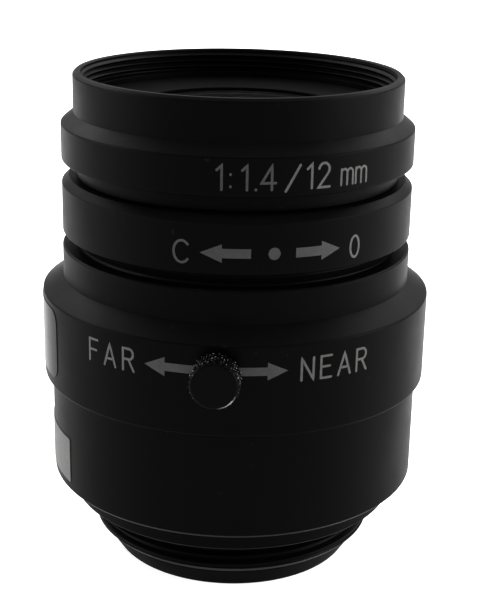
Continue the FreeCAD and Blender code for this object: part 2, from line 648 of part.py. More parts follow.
def front_ring():
    """The front ring with its taper, narrow front part and filter thread."""
    s = S
    seat = s.iris_top + s.end_float
    bore = s.nose_radius + s.seat_fit
    return turned("front_ring", [
        (bore, seat),
        (s.front_neck_radius, seat),
        (s.front_neck_radius, s.front_bottom),
        (s.front_radius - s.edge_break, s.front_bottom),
        (s.front_radius, s.front_bottom + s.edge_break),
        (s.front_radius, s.front_edge),
        (s.hood_radius, s.hood_bottom),
        (s.hood_radius, s.hood_top - s.lip_chamfer),
        (s.hood_radius - s.lip_chamfer, s.hood_top),
        (s.filter_radius + s.edge_break, s.hood_top),
        (s.filter_radius, s.hood_top - s.edge_break),
        (s.filter_radius, s.hood_top - s.filter_depth),
        (s.ring_bore, s.hood_top - s.filter_depth),
        (s.ring_bore, s.nose_top + s.end_float),
        (bore, s.nose_top + s.end_float),
    ])


def wrench_slots(name, radius, top):
    """Two slots across a ring's face for a spanner wrench."""
    slots = []
    for side in (-1, 1):
        slot = doc.addObject("Part::Box", f"{name}_slot_{(side + 3) // 2}")
        bind(slot, "Length", radius)
        bind(slot, "Width", S.wrench_slot)
        bind(slot, "Height", S.wrench_depth + PAST)
        slot.Placement = FreeCAD.Placement(
            V(-float(radius) if side < 0 else 0, -float(S.wrench_slot) / 2, float(top - S.wrench_depth)),
            FreeCAD.Rotation())
        slots.append(slot)
    return slots


def front_retaining_ring():
    """The black ring that holds the front element, with a shallow cone and a lip over the glass."""
    s = S
    outer = s.ring_bore - s.seat_fit
    lip = s.front_glass_rim + s.lip_clear
    body = turned("front_retaining_ring_turned", [
        (s.retainer_opening, lip),
        (s.front_glass_clear + s.retainer_seat, s.front_glass_rim),
        (outer, s.front_glass_rim),
        (outer, s.retainer_top),
        (outer - s.retainer_flat, s.retainer_top),
        (s.retainer_opening, lip + s.lip_edge),
    ])
    return cut("front_retaining_ring", body, wrench_slots("front_ring_wrench", s.ring_bore, s.retainer_top))


def lens_element(name, radius, rear, front, rear_clear, rear_sag, front_clear, front_sag):
    """A glass turned from its profile: flat rims at rear and front, and two spherical faces.
    A sag is how far a face's middle stands above its rim, and is negative where it lies below."""
    body = doc.addObject("PartDesign::Body", name)
    sketch = new_sketch(body, name + "_profile", "XZ_Plane")
    corners = [(0, rear + rear_sag), (rear_clear, rear), (radius, rear),
               (radius, front), (front_clear, front), (0, front + front_sag)]
    points = [V(float(x), float(y), 0) for x, y in corners]

    def face(vertex, rim):
        """The arc of a spherical face, its centre on the axis."""
        rise = vertex.y - rim.y
        r = (rim.x ** 2 + rise ** 2) / (2 * abs(rise))
        centre = V(0, vertex.y - math.copysign(r, rise), 0)
        a = math.atan2(vertex.y - centre.y, 0)
        b = math.atan2(rim.y - centre.y, rim.x)
        arc = Part.ArcOfCircle(Part.Circle(centre, UP, r), min(a, b), max(a, b))
        index = sketch.addGeometry(arc)
        sketch.addConstraint(Sketcher.Constraint("PointOnObject", index, 3, -2))
        return index, (1 if a < b else 2), (1 if b < a else 2)

    arc1, arc1_vertex, arc1_rim = face(points[0], points[1])
    line1 = sketch.addGeometry(Part.LineSegment(points[1], points[2]))
    line2 = sketch.addGeometry(Part.LineSegment(points[2], points[3]))
    line3 = sketch.addGeometry(Part.LineSegment(points[3], points[4]))
    arc2, arc2_vertex, arc2_rim = face(points[5], points[4])
    axis = sketch.addGeometry(Part.LineSegment(points[5], points[0]))
    for first, end, second, start in [
            (arc1, arc1_rim, line1, 1), (line1, 2, line2, 1), (line2, 2, line3, 1),
            (line3, 2, arc2, arc2_rim), (arc2, arc2_vertex, axis, 1), (axis, 2, arc1, arc1_vertex)]:
        sketch.addConstraint(Sketcher.Constraint("Coincident", first, end, second, start))
    for line, end, (x, y) in [(line1, 1, corners[1]), (line2, 1, corners[2]), (line3, 1, corners[3]),
                              (line3, 2, corners[4]), (axis, 1, corners[5]), (axis, 2, corners[0])]:
        pin_point(sketch, line, end, x, y)
    revolve(body, sketch)
    return body


def front_optics():
    """The front element, its spacer, and the second element in the nose of the lens barrel."""
    s = S
    glass = s.second_bore - s.seat_fit
    lens_element("front_element", s.front_glass_radius, s.front_seat, s.front_glass_rim,
                 s.front_glass_rear_clear, s.front_glass_rear_sag, s.front_glass_clear, s.front_glass_sag)
    turned("front_spacer", [
        (s.spacer_opening, s.second_rim), (glass, s.second_rim),
        (glass, s.front_seat), (s.spacer_opening, s.front_seat)])
    lens_element("second_element", glass, s.second_seat, s.second_rim,
                 s.second_rear_clear, s.second_rear_sag, s.second_clear, s.second_sag)


def iris_base_ring():
    """The fixed plate under the blades, with a pivot hole for each and a rim that carries the cam ring."""
    s = S
    plate = s.base_bottom + s.base_plate
    body = turned("iris_base_ring_turned", [
        (s.base_opening, s.base_bottom),
        (s.tube_bore - s.seat_fit, s.base_bottom),
        (s.tube_bore - s.seat_fit, plate + s.base_rim),
        (s.base_rim_bore, plate + s.base_rim),
        (s.base_rim_bore, plate),
        (s.base_opening, plate),
    ])
    holes = []
    for i in range(int(float(s.blade_count))):
        a = math.radians(360 * i / float(s.blade_count))
        reach = float(s.pivot_circle)
        hole = cylinder(f"pivot_hole_{i + 1}", s.blade_pin + s.pin_clear, s.base_plate + PAST * 2)
        hole.Placement.Base = V(reach * math.cos(a), reach * math.sin(a), float(s.base_bottom) - PAST)
        holes.append(hole)
    return cut("iris_base_ring", body, holes)


def turn_point(point, angle, centre=V(0, 0, 0)):
    """A point turned about a vertical line, in degrees."""
    return centre + FreeCAD.Rotation(UP, angle).multVec(point - centre)


def cam_path(start):
    """Three places of a blade's drive pin, seen from the cam ring as the iris closes."""
    s = S
    pivot = turn_point(V(float(s.pivot_circle), 0, 0), start)
    pin = turn_point(pivot, float(s.drive_angle))
    blade, ring = float(s.blade_turn_angle), float(s.iris_turn_angle)
    return [turn_point(turn_point(pin, -blade * share, pivot), ring * share) for share in (-0.02, 0.5, 1.02)]


def arc_slot(path, half_width, bottom, top):
    """A slot with round ends along the arc through three points."""
    first, middle, last = path
    centre = Part.Arc(first, middle, last).toShape().Curve.Center
    edges = []
    for shift in (half_width, -half_width):
        moved = [p + (p - centre).normalize() * shift for p in (V(first), V(middle), V(last))]
        edges.append(Part.Arc(*moved).toShape())
    for end, toward in ((first, last), (last, first)):
        radial_way = (end - centre).normalize()
        along = radial_way.cross(UP)
        if along.dot(toward - end) > 0:
            along = along * -1
        edges.append(Part.Arc(end + radial_way * half_width, end + along * half_width,
                              end - radial_way * half_width).toShape())
    wire = Part.Wire(Part.__sortEdges__(edges))
    wire.translate(V(0, 0, bottom))
    return Part.Face(wire).extrude(V(0, 0, top - bottom))


def iris_cam_ring():
    """The ring whose curved slots drive the blades. Each slot is the path that its blade's pin takes,
    so that the blades turn in step with the iris ring."""
    s = S
    bottom = s.base_bottom + s.base_plate + s.base_rim + s.end_float
    top = s.iris_roof - s.end_float
    outer = s.tube_bore - s.slide_fit
    body = turned("iris_cam_ring_turned", [
        (s.cam_inner, bottom), (outer, bottom), (outer, top), (s.cam_inner, top)])
    slots = doc.addObject("Part::Feature", "cam_slots")
    count = int(float(s.blade_count))
    half_width = float(s.blade_pin + s.pin_clear)
    slots.Shape = Part.makeCompound([
        arc_slot(cam_path(360 * i / count), half_width, float(bottom) - PAST, float(top) + PAST)
        for i in range(count)])
    notch = doc.addObject("Part::Box", "drive_notch")
    bind(notch, "Length", (s.drive_pin_radius + s.screw_fit) * 2)
    bind(notch, "Width", top - bottom + PAST * 2)
    bind(notch, "Height", outer)
    notch.Placement = radial(s.drive_azimuth, bottom - PAST, s.drive_notch_bottom)
    half = float(s.drive_pin_radius + s.screw_fit)
    notch.Placement.Base = notch.Placement.Base - notch.Placement.Rotation.multVec(V(half, 0, 0))
    return cut("iris_cam_ring", body, [slots, notch])


def iris_blade(index):
    """One crescent blade with a pivot pin below and a drive pin above, at its own height."""
    s = S
    name = f"iris_blade_{index + 1}"
    plate = s.base_bottom + s.base_plate
    bottom = plate + s.blade_gap + s.blade_pitch * index
    top = bottom + s.blade_thickness
    start = 360 * index / float(s.blade_count)
    reach = float(s.pivot_circle)
    # The crescent hangs clockwise from the pivot.
    outer = cylinder(name + "_outer", s.blade_outer, s.blade_thickness,
                     at_height(bottom, start - float(s.blade_arc_angle)), s.blade_arc_angle)
    inner = cylinder(name + "_inner", s.stop_radius, s.blade_thickness + PAST * 2,
                     at_height(bottom - PAST, start))
    crescent = cut(name + "_crescent", outer, [inner])
    middle = (s.stop_radius + s.blade_outer) / 2
    shapes = [crescent]

    def disc(label, radius, at, angle, low, height):
        """A round piece of the blade, at a distance and angle from the axis."""
        piece = cylinder(f"{name}_{label}", radius, height)
        a = math.radians(start + float(angle))
        piece.Placement.Base = V(at * math.cos(a), at * math.sin(a), float(low))
        shapes.append(piece)

    half = (s.blade_outer - s.stop_radius) / 2
    disc("tip", half, float(middle), -s.blade_arc_angle, bottom, s.blade_thickness)
    disc("pivot_lug", s.blade_lug, reach, 0, bottom, s.blade_thickness)
    disc("drive_lug", s.blade_lug, reach, s.drive_angle, bottom, s.blade_thickness)
    low = s.base_bottom + s.blade_gap
    disc("pivot_pin", s.blade_pin, reach, 0, low, bottom - low)
    disc("drive_pin", s.blade_pin, reach, s.drive_angle, top, s.blade_drive_top - top)
    web = doc.addObject("Part::Box", name + "_web")
    spread = s.pivot_circle * 2 * math.sin(math.radians(float(s.drive_angle)) / 2)
    bind(web, "Length", s.blade_lug * 2)
    bind(web, "Width", spread)
    bind(web, "Height", s.blade_thickness)
    turn = start + float(s.drive_angle) / 2
    corner = turn_point(V(reach, 0, float(bottom)), start)
    web.Placement = FreeCAD.Placement(corner, FreeCAD.Rotation(UP, turn))
    web.Placement.Base = corner + web.Placement.Rotation.multVec(V(-float(s.blade_lug), 0, 0))
    shapes.append(web)
    root = doc.addObject("Part::Box", name + "_root")
    inset = s.stop_radius + s.blade_root_inset
    bind(root, "Length", s.pivot_circle - inset)
    bind(root, "Width", s.blade_lug)
    bind(root, "Height", s.blade_thickness)
    root.Placement = FreeCAD.Placement(
        turn_point(V(float(inset), -float(s.blade_lug), float(bottom)), start),
        FreeCAD.Rotation(UP, start))
    shapes.append(root)
    return fuse(name, shapes)


def iris_ring():
    """The ring that the user turns, with holes for its drive pin and its lock screw."""
    s = S
    bore = s.journal_radius + s.slide_fit
    body = turned("iris_ring_turned", [
        (bore, s.iris_bottom),
        (s.iris_radius - s.edge_break, s.iris_bottom),
        (s.iris_radius, s.iris_bottom + s.edge_break),
        (s.iris_radius, s.iris_top - s.iris_chamfer),
        (s.iris_radius - s.iris_chamfer, s.iris_top),
        (bore, s.iris_top),
    ])
    middle = (s.iris_bottom + s.iris_top) / 2
    lock = cylinder("iris_lock_hole", s.small_screw_radius + s.screw_fit, s.iris_radius,
                    radial(s.iris_lock_azimuth, middle, s.journal_radius - PAST))
    pin = cylinder("drive_pin_hole", s.drive_pin_radius + s.press_fit, s.iris_radius,
                   radial(s.drive_azimuth, s.drive_pin_height, s.journal_radius - PAST))
    under = s.iris_radius - s.drive_head_height - s.drive_head_sunk
    head = cylinder("drive_head_hole", s.drive_head_radius + s.press_fit, s.iris_radius,
                    radial(s.drive_azimuth, s.drive_pin_height, under))
    return cut("iris_ring", body, [lock, pin, head])


def iris_drive_pin():
    """The screw through the iris ring whose tip turns the cam ring."""
    s = S
    under = s.iris_radius - s.drive_head_height - s.drive_head_sunk
    body = turned("iris_drive_pin_turned", [
        (0, s.drive_pin_inner),
        (s.drive_pin_radius, s.drive_pin_inner),
        (s.drive_pin_radius, under),
        (s.drive_head_radius, under),
        (s.drive_head_radius, under + s.drive_head_height),
        (0, under + s.drive_head_height),
    ])
    slot = doc.addObject("Part::Box", "drive_pin_slot")
    bind(slot, "Length", s.drive_head_radius * 2 + PAST * 2)
    bind(slot, "Width", s.drive_slot)
    bind(slot, "Height", s.drive_slot + PAST)
    slot.Placement.Base = V(-float(s.drive_head_radius) - PAST, -float(s.drive_slot) / 2,
                            float(under + s.drive_head_height - s.drive_slot))
    pin = cut("iris_drive_pin", body, [slot])
    pin.Placement = radial(s.drive_azimuth, s.drive_pin_height)
    return pin


def rear_optics():
    """The rear cell with its rings and glasses."""
    s = S
    turned("rear_cell", [
        (s.cell_bore, s.base_bottom),
        (s.cell_bore, s.doublet_seat),
        (s.cell_waist, s.doublet_seat),
        (s.cell_waist, s.cell_rear_seat),
        (s.cell_rear_bore, s.cell_rear_seat),
        (s.cell_rear_bore, s.cell_bottom),
        (s.cell_tube_radius - s.edge_break, s.cell_bottom),
        (s.cell_tube_radius, s.cell_bottom + s.edge_break),
        (s.cell_tube_radius, s.cell_thread_bottom),
        (s.cell_radius, s.cell_thread_bottom),
        (s.cell_radius, s.base_bottom),
    ])
    glass = s.cell_bore - s.seat_fit
    wide = s.middle_opening
    lens_element("doublet_rear", glass, s.doublet_seat, s.doublet_joint,
                 wide, s.doublet_rear_sag, s.doublet_clear, s.doublet_sag)
    lens_element("doublet_front", glass, s.doublet_joint + s.cement, s.doublet_rim,
                 s.doublet_clear, s.doublet_sag, wide, s.doublet_front_sag)
    spacer_top = s.doublet_rim + s.spacer_length
    turned("rear_spacer", [
        (wide, s.doublet_rim), (glass, s.doublet_rim), (glass, spacer_top), (wide, spacer_top)])
    lens_element("third_element", glass, spacer_top, s.third_rim,
                 s.third_clear, s.third_rear_sag, s.third_clear, s.third_front_sag)
    turned("cell_retaining_ring", [
        (wide, s.third_rim), (glass, s.third_rim), (glass, s.cell_ring_top), (wide, s.cell_ring_top)])
    rear_glass = s.cell_rear_bore - s.seat_fit
    lens_element("rear_element", rear_glass, s.rear_rim, s.cell_rear_seat,
                 s.rear_clear, s.rear_sag, s.rear_front_clear, s.rear_front_sag)
    ring = turned("rear_retaining_ring_turned", [
        (s.rear_opening, s.rear_ring_bottom), (rear_glass, s.rear_ring_bottom),
        (rear_glass, s.rear_rim), (s.rear_opening, s.rear_rim)])
    slots = wrench_slots("rear_ring_wrench", s.cell_rear_bore, s.rear_ring_bottom + s.wrench_depth * 2)
    for slot in slots:
        slot.Placement.Base.z = float(s.rear_ring_bottom) - PAST
    cut("rear_retaining_ring", ring, slots)


mount_barrel()
rear_sleeve()
guide_pin()
focus_ring()
focus_stop_screw()
lock_pad("focus_lock_pad", S.spigot_radius, S.focus_lock_azimuth, S.focus_lock_height)
lock_screw("focus_lock_screw", S.spigot_radius, S.focus_radius, S.focus_lock_azimuth, S.focus_lock_height)
lens_barrel()
front_ring()
front_retaining_ring()
front_optics()
iris_base_ring()
iris_cam_ring()
for blade in range(int(float(S.blade_count))):
    iris_blade(blade)
iris_ring()
iris_drive_pin()
iris_middle = (S.iris_bottom + S.iris_top) / 2
lock_pad("iris_lock_pad", S.journal_radius, S.iris_lock_azimuth, iris_middle)
lock_screw("iris_lock_screw", S.journal_radius, S.iris_radius, S.iris_lock_azimuth, iris_middle)
rear_optics()

doc.recompute()
blades = [f"iris_blade_{i + 1}" for i in range(int(float(S.blade_count)))]
nodes = [
    "mount_barrel", "rear_sleeve", "guide_pin", "focus_ring", "focus_stop_screw", "focus_lock_pad",
    "focus_lock_screw", "lens_barrel", "front_ring", "front_retaining_ring", "front_element", "front_spacer",
    "second_element", "iris_base_ring", "iris_cam_ring", "iris_ring", "iris_drive_pin", "iris_lock_pad",
    "iris_lock_screw", "rear_cell", "cell_retaining_ring", "third_element", "rear_spacer", "doublet_front",
    "doublet_rear", "rear_element", "rear_retaining_ring",
] + blades

for thing in doc.Objects:
    if "Invalid" in thing.State or "Error" in thing.State:
        raise RuntimeError(f"{thing.Name} did not compute: {thing.State}")
os.makedirs("parts", exist_ok=True)
for node in nodes:
    shape = doc.getObject(node).Shape
    if shape.isNull() or not shape.isValid() or len(shape.Solids) != 1:
        raise RuntimeError(f"{node} is not one valid solid")
    doc.getObject(node).Label = node
    shape.exportStep(f"parts/{node}.step")
    print(node, round(shape.Volume, 2))
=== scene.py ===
import bmesh
import bpy
import math
from mathutils import Matrix, Vector


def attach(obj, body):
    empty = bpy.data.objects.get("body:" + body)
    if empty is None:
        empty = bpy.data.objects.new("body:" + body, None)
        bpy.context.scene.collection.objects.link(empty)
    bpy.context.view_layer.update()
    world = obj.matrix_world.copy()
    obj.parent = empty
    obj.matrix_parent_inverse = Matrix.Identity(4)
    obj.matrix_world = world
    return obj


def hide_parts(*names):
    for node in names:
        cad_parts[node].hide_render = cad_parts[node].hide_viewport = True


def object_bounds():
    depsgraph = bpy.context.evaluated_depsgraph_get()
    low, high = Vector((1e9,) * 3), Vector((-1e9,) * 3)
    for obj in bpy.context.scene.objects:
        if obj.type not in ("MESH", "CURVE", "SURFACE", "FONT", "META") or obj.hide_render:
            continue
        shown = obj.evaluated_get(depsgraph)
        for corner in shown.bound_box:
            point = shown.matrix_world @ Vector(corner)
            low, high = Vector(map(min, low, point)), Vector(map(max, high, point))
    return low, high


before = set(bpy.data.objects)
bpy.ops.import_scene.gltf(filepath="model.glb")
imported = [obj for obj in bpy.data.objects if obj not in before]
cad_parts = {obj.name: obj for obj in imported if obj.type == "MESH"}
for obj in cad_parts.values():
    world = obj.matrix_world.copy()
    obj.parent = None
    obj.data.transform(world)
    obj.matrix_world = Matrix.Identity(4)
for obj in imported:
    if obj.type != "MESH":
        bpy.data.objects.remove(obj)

cad_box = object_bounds()


# Mount barrel. The fixed rear part of the lens, turned from aluminium bar and anodised black.
# Its C-mount thread, 32 turns to the inch, is single-point cut below the flat seat, and a pressed
# dowel in its spigot keeps the lens barrel from turning.
MM = 0.001
SAME = 1e-6


def rounded(outline):
    """The outline's corners as small arcs: (radius, height, edge, crisp) points, edge 1 on an arc
    and crisp where a corner has none."""
    longest_share, support = 0.3, 1.6
    points = []
    count = len(outline)
    for i, (r, z, size) in enumerate(outline):
        corner = Vector((r, z))
        back = Vector(outline[i - 1][:2]) - corner
        ahead = Vector(outline[(i + 1) % count][:2]) - corner
        if size == 0:
            points.append((r, z, 0.0, True))
            continue
        reach = min(size, back.length * longest_share, ahead.length * longest_share)
        a = corner + back.normalized() * reach
        b = corner + ahead.normalized() * reach
        before = corner + back.normalized() * reach * support
        after = corner + ahead.normalized() * reach * support
        points.append((before.x, before.y, 0.0, False))
        for t, edge in ((0, 0.3), (0.25, 0.9), (0.5, 1.0), (0.75, 0.9), (1, 0.3)):
            spot = a * (1 - t) ** 2 + corner * 2 * t * (1 - t) + b * t ** 2
            points.append((spot.x, spot.y, edge, False))
        points.append((after.x, after.y, 0.0, False))
    return points


def piece_of(name, bm, crease=None):
    """The finished mesh as an object of the scene. Edges steeper than crease, in degrees, are sharp."""
    mesh = bpy.data.meshes.new(name)
    bm.to_mesh(mesh)
    bm.free()
    if crease:
        mesh.set_sharp_from_angle(angle=math.radians(crease))
    piece = bpy.data.objects.new(name, mesh)
    bpy.context.scene.collection.objects.link(piece)
    return piece


def turned(name, outline, steps=240, thread=None, rows=()):
    """A ring turned from a closed outline in millimetres, each corner with its own edge round.
    thread is (wall radius, low end, high end, pitch, depth), its depth measured towards the axis.
    rows are heights at which the outer wall gets an extra row of points, as (wall radius, height)."""
    rows_per_turn, too_few = 14, 4
    flank, crest, run_out_turns = 1.3, 0.12, 0.6
    thread_wall, thread_low, thread_high, pitch, depth = thread or (None,) * 5
    profile = rounded(outline)
    lines = []
    count = len(profile)
    for i, (r, z, edge, crisp) in enumerate(profile):
        lines.append((r, z, edge, False, crisp))
        r2, z2 = profile[(i + 1) % count][:2]
        low, high = sorted((z, z2))
        stops = []
        if thread and abs(r - thread_wall) < SAME and abs(r2 - thread_wall) < SAME:
            start, end = max(low, thread_low), min(high, thread_high)
            cuts = int((end - start) / pitch * rows_per_turn)
            if cuts > too_few:
                stops += [(start + (end - start) * k / cuts, True) for k in range(cuts + 1)]
        for wall, height in rows:
            if abs(r - wall) < SAME and abs(r2 - wall) < SAME and low < height < high:
                stops.append((height, False))
        for height, cut in sorted(stops, reverse=z2 < z):
            if abs(height - z) > SAME and abs(height - z2) > SAME:
                lines.append((r, height, 0.0, cut, False))
    bm = bmesh.new()
    worn = bm.verts.layers.float.new("edge")
    loops = []
    for r, z, edge, cut, crisp in lines:
        ring = []
        for k in range(steps):
            angle = 2 * math.pi * k / steps
            radius = r
            if cut:
                phase = (z / pitch - k / steps) % 1
                groove = min(1, max(0, flank * (1 - abs(2 * phase - 1)) - crest))
                ends = min(z - thread_low, thread_high - z) / (run_out_turns * pitch)
                radius -= depth * groove * min(1, max(0, ends))
            vert = bm.verts.new((radius * math.cos(angle) * MM, radius * math.sin(angle) * MM, z * MM))
            vert[worn] = edge
            ring.append(vert)
        loops.append(ring)
    for i, ring in enumerate(loops):
        above = loops[(i + 1) % len(loops)]
        crisp = lines[i][-1]
        for k in range(steps):
            bm.faces.new((ring[k], ring[(k + 1) % steps], above[(k + 1) % steps], above[k]))
        if crisp:
            for k in range(steps):
                bm.edges.get((ring[k], ring[(k + 1) % steps])).smooth = False
    bmesh.ops.recalc_face_normals(bm, faces=bm.faces[:])
    for face in bm.faces:
        face.smooth = True
    return piece_of(name, bm)


def new_finish(name):
    """A new material and its skin, the shader that its colour and gloss are set on."""
    material = bpy.data.materials.new(name)
    material.use_nodes = True
    return material, material.node_tree.nodes["Principled BSDF"]


def wire(owner, kind, inputs=None, **settings):
    """One shader node of a material or the world, with its inputs set or linked."""
    node = owner.node_tree.nodes.new(kind)
    for key, value in settings.items():
        setattr(node, key, value)
    for key, value in (inputs or {}).items():
        if isinstance(value, bpy.types.NodeSocket):
            owner.node_tree.links.new(value, node.inputs[key])
        else:
            node.inputs[key].default_value = value
    return node


def reckon(owner, operation, *values):
    """The result of one sum, each value a number or a socket."""
    return wire(owner, "ShaderNodeMath", dict(enumerate(values)), operation=operation).outputs[0]


def graded(material, value, low, high, start, end):
    """A value from low to high turned into one from start to end, and held beyond them."""
    return wire(material, "ShaderNodeMapRange", {0: value, 1: low, 2: high, 3: start, 4: end}).outputs[0]


def clouds(material, place, scale, detail, roughness=0.5):
    """Uneven patches, as many to the metre as scale says."""
    return wire(material, "ShaderNodeTexNoise", {"Vector": place, "Scale": scale, "Detail": detail,
                                                 "Roughness": roughness}).outputs[0]


def blended(material, share, first, second):
    """Two colours mixed, a share of 0 giving the first. Each is a colour or a socket with one."""
    sides = [side if isinstance(side, bpy.types.NodeSocket) else (*side, 1) for side in (first, second)]
    mix = wire(material, "ShaderNodeMix", {0: share, 6: sides[0], 7: sides[1]}, data_type="RGBA")
    return mix.outputs[2]


def embossed(material, height, strength, depth):
    """Fine relief on a finish, its depth in metres."""
    bump = wire(material, "ShaderNodeBump", {"Height": height, "Strength": strength, "Distance": depth})
    skin = material.node_tree.nodes["Principled BSDF"]
    material.node_tree.links.new(bump.outputs[0], skin.inputs["Normal"])


def turning_marks(material, lines=9000, wander=2600):
    """Fine grooves round the axis, as the lathe tool leaves them on walls, faces and cones alike."""
    radius_share = 0.73
    place = wire(material, "ShaderNodeTexCoord").outputs["Object"]
    parts = wire(material, "ShaderNodeSeparateXYZ", {0: place})
    flat = wire(material, "ShaderNodeCombineXYZ", {0: parts.outputs[0], 1: parts.outputs[1]})
    radius = wire(material, "ShaderNodeVectorMath", {0: flat.outputs[0]}, operation="LENGTH")
    across = reckon(material, "MULTIPLY_ADD", radius.outputs["Value"], radius_share, parts.outputs[2])
    grooves = wire(material, "ShaderNodeTexNoise", {"W": across, "Scale": lines, "Detail": 2.0},
                   noise_dimensions="1D")
    broad = wire(material, "ShaderNodeTexNoise", {"W": across, "Scale": wander, "Detail": 1.0},
                 noise_dimensions="1D")
    return place, reckon(material, "ADD", grooves.outputs[0], broad.outputs[0])


def anodised(name, dye, gloss=0.40, grain=0.5, bare=(0.10, 0.10, 0.104), rubbed=(0.70, 0.92)):
    """Black dyed anodised aluminium: turning marks and etched grain under a satin oxide skin, a
    little dust, and bare metal where sharp edges have rubbed. rubbed holds the wear at which the
    bare metal starts to show and the wear at which it shows most."""
    dust_grey = (0.03, 0.03, 0.029)
    material, skin = new_finish(name)
    links = material.node_tree.links
    place, marks = turning_marks(material)
    etch = clouds(material, place, 7000, 3)
    handled = clouds(material, place, 140, 5, 0.62)
    embossed(material, reckon(material, "MULTIPLY_ADD", etch, grain, marks), 0.10, 0.00002)
    links.new(graded(material, handled, 0.3, 0.72, gloss - 0.05, gloss + 0.09), skin.inputs["Roughness"])
    specks = clouds(material, place, 1500, 4)
    dust = graded(material, specks, 0.70, 0.80, 0.0, 0.35)
    dusty = blended(material, dust, dye, dust_grey)
    edge = wire(material, "ShaderNodeAttribute", attribute_name="edge")
    chips = reckon(material, "MULTIPLY", edge.outputs["Fac"], specks)
    worn = graded(material, chips, rubbed[0], rubbed[1], 0.0, 0.5)
    links.new(blended(material, worn, dusty, bare), skin.inputs["Base Color"])
    links.new(worn, skin.inputs["Metallic"])
    skin.inputs["IOR"].default_value = 1.5
    skin.inputs["Specular IOR Level"].default_value = 0.018
    return material


def dress(piece, material, *nodes):
    """Give a piece its finish, and hide the CAD nodes that a turned skin stands for."""
    piece.data.materials.clear()
    piece.data.materials.append(material)
    if nodes:
        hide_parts(*nodes)
    return piece


black = anodised("black_anodised", (0.0007, 0.0007, 0.0008))
inside_black = anodised("matt_black_inside", (0.0012, 0.0012, 0.0013), gloss=0.5, grain=1.2)

barrel_wall, spigot, guide_bore = 16.45, 15.4, 13.03
thread_radius, thread_pitch, thread_end, thread_depth = 12.7, 25.4 / 32, -3.45, 0.46
barrel = turned("mount_barrel_skin", [
    (11.25, thread_end, 0.03), (thread_radius - 0.5, thread_end, 0.04), (thread_radius, -2.95, 0.04),
    (thread_radius, 0, 0.0), (14.58, 0, 0.03), (14.7, 0.12, 0.03), (14.7, 1.95, 0.0),
    (16.15, 1.95, 0.05), (barrel_wall, 2.25, 0.06), (barrel_wall, 13.0, 0.06), (spigot, 13.0, 0.04),
    (spigot, 18.2, 0.05), (guide_bore, 18.2, 0.05), (guide_bore, 7.2, 0.0), (10.4, 7.2, 0.05),
    (10.4, -1.2, 0.0), (11.25, -1.2, 0.0)],
    thread=(thread_radius, -2.9, -0.25, thread_pitch, thread_depth))
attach(dress(barrel, black, "mount_barrel"), "mount")


# Rear sleeve. A short tapered ring screwed into the thread's end, which guards the rear glass.
# Turned and anodised like the barrel, but left more matt.
sleeve = turned("rear_sleeve_skin", [
    (10.2, -1.25, 0.0), (10.2, -5.38, 0.04), (10.32, -5.5, 0.03), (10.8, -5.5, 0.03),
    (10.92, -5.38, 0.04), (12.05, -3.6, 0.04), (12.05, thread_end, 0.0), (11.2, thread_end, 0.0),
    (11.2, -1.25, 0.0)])
sleeve_black = anodised("matt_black_sleeve", (0.0007, 0.0007, 0.0008), gloss=0.5)
sleeve_black.node_tree.nodes["Principled BSDF"].inputs["Specular IOR Level"].default_value = 0.006
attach(dress(sleeve, sleeve_black, "rear_sleeve"), "mount")


# Focus ring. A grip ring without knurling, turned from aluminium and anodised: a satin wall, a
# tapered shoulder, and a neck in which the lens barrel's helicoid runs. One tapped hole in the
# wall holds the lock screw, and one at the back the stop screw.
def bored(piece, wall, azimuth, height, radius, depth, window):
    """A round hole with a small chamfer through a turned wall. The faces in the window round the
    hole, (degrees to each side, reach below, reach above), make way for a ring of faces that end
    on the hole."""
    mesh = piece.data
    bm = bmesh.new()
    bm.from_mesh(mesh)
    worn = bm.verts.layers.float["edge"]
    side, low, high = window[0], height - window[1], height + window[2]
    middle = math.radians(azimuth - 90)
    off_wall = 0.001

    def spot(vert):
        """Arc length and height of a vertex, from the middle of the hole, in millimetres."""
        turn = math.atan2(vert.co.y, vert.co.x) - middle
        turn = math.atan2(math.sin(turn), math.cos(turn))
        return turn * wall, vert.co.z / MM - height

    def inside(face):
        """Whether a face lies on the outer wall and wholly in the window."""
        if any(abs(math.hypot(v.co.x, v.co.y) / MM - wall) > off_wall for v in face.verts):
            return False
        spots = [spot(vert) for vert in face.verts]
        return all(abs(u) < math.radians(side) * wall and low < v + height < high for u, v in spots)

    gone = [face for face in bm.faces if inside(face)]
    counts = {}
    for face in gone:
        for edge in face.edges:
            counts[edge] = counts.get(edge, 0) + 1
    rim = {vert for edge, n in counts.items() if n == 1 for vert in edge.verts}
    rim = sorted(rim, key=lambda vert: math.atan2(spot(vert)[1], spot(vert)[0]))
    bmesh.ops.delete(bm, geom=gone, context="FACES")
    last = rim
    widest_chamfer, chamfer_share = 0.1, 0.12
    chamfer = min(widest_chamfer, radius * chamfer_share)
    for reach, drop, edge in ((radius + chamfer, 0.0, 0.2), (radius, chamfer, 0.6), (radius, depth, 0.0)):
        ring = []
        for vert in rim:
            u, v = spot(vert)
            angle = math.atan2(v, u)
            turn = middle + math.asin(reach * math.cos(angle) / (wall - drop))
            r = (wall - drop) * MM
            new = bm.verts.new((r * math.cos(turn), r * math.sin(turn),
                                (height + reach * math.sin(angle)) * MM))
            new[worn] = edge
            ring.append(new)
        for k in range(len(ring)):
            n = (k + 1) % len(ring)
            face = bm.faces.new((last[k], last[n], ring[n], ring[k]))
            face.smooth = True
        last = ring
    bmesh.ops.recalc_face_normals(bm, faces=bm.faces[:])
    bm.to_mesh(mesh)
    bm.free()


def hole_rows(wall, low, high):
    """Rows of points across a stretch of wall that carries holes."""
    strips = 16
    return [(wall, low + (high - low) * k / strips) for k in range(strips + 1)]


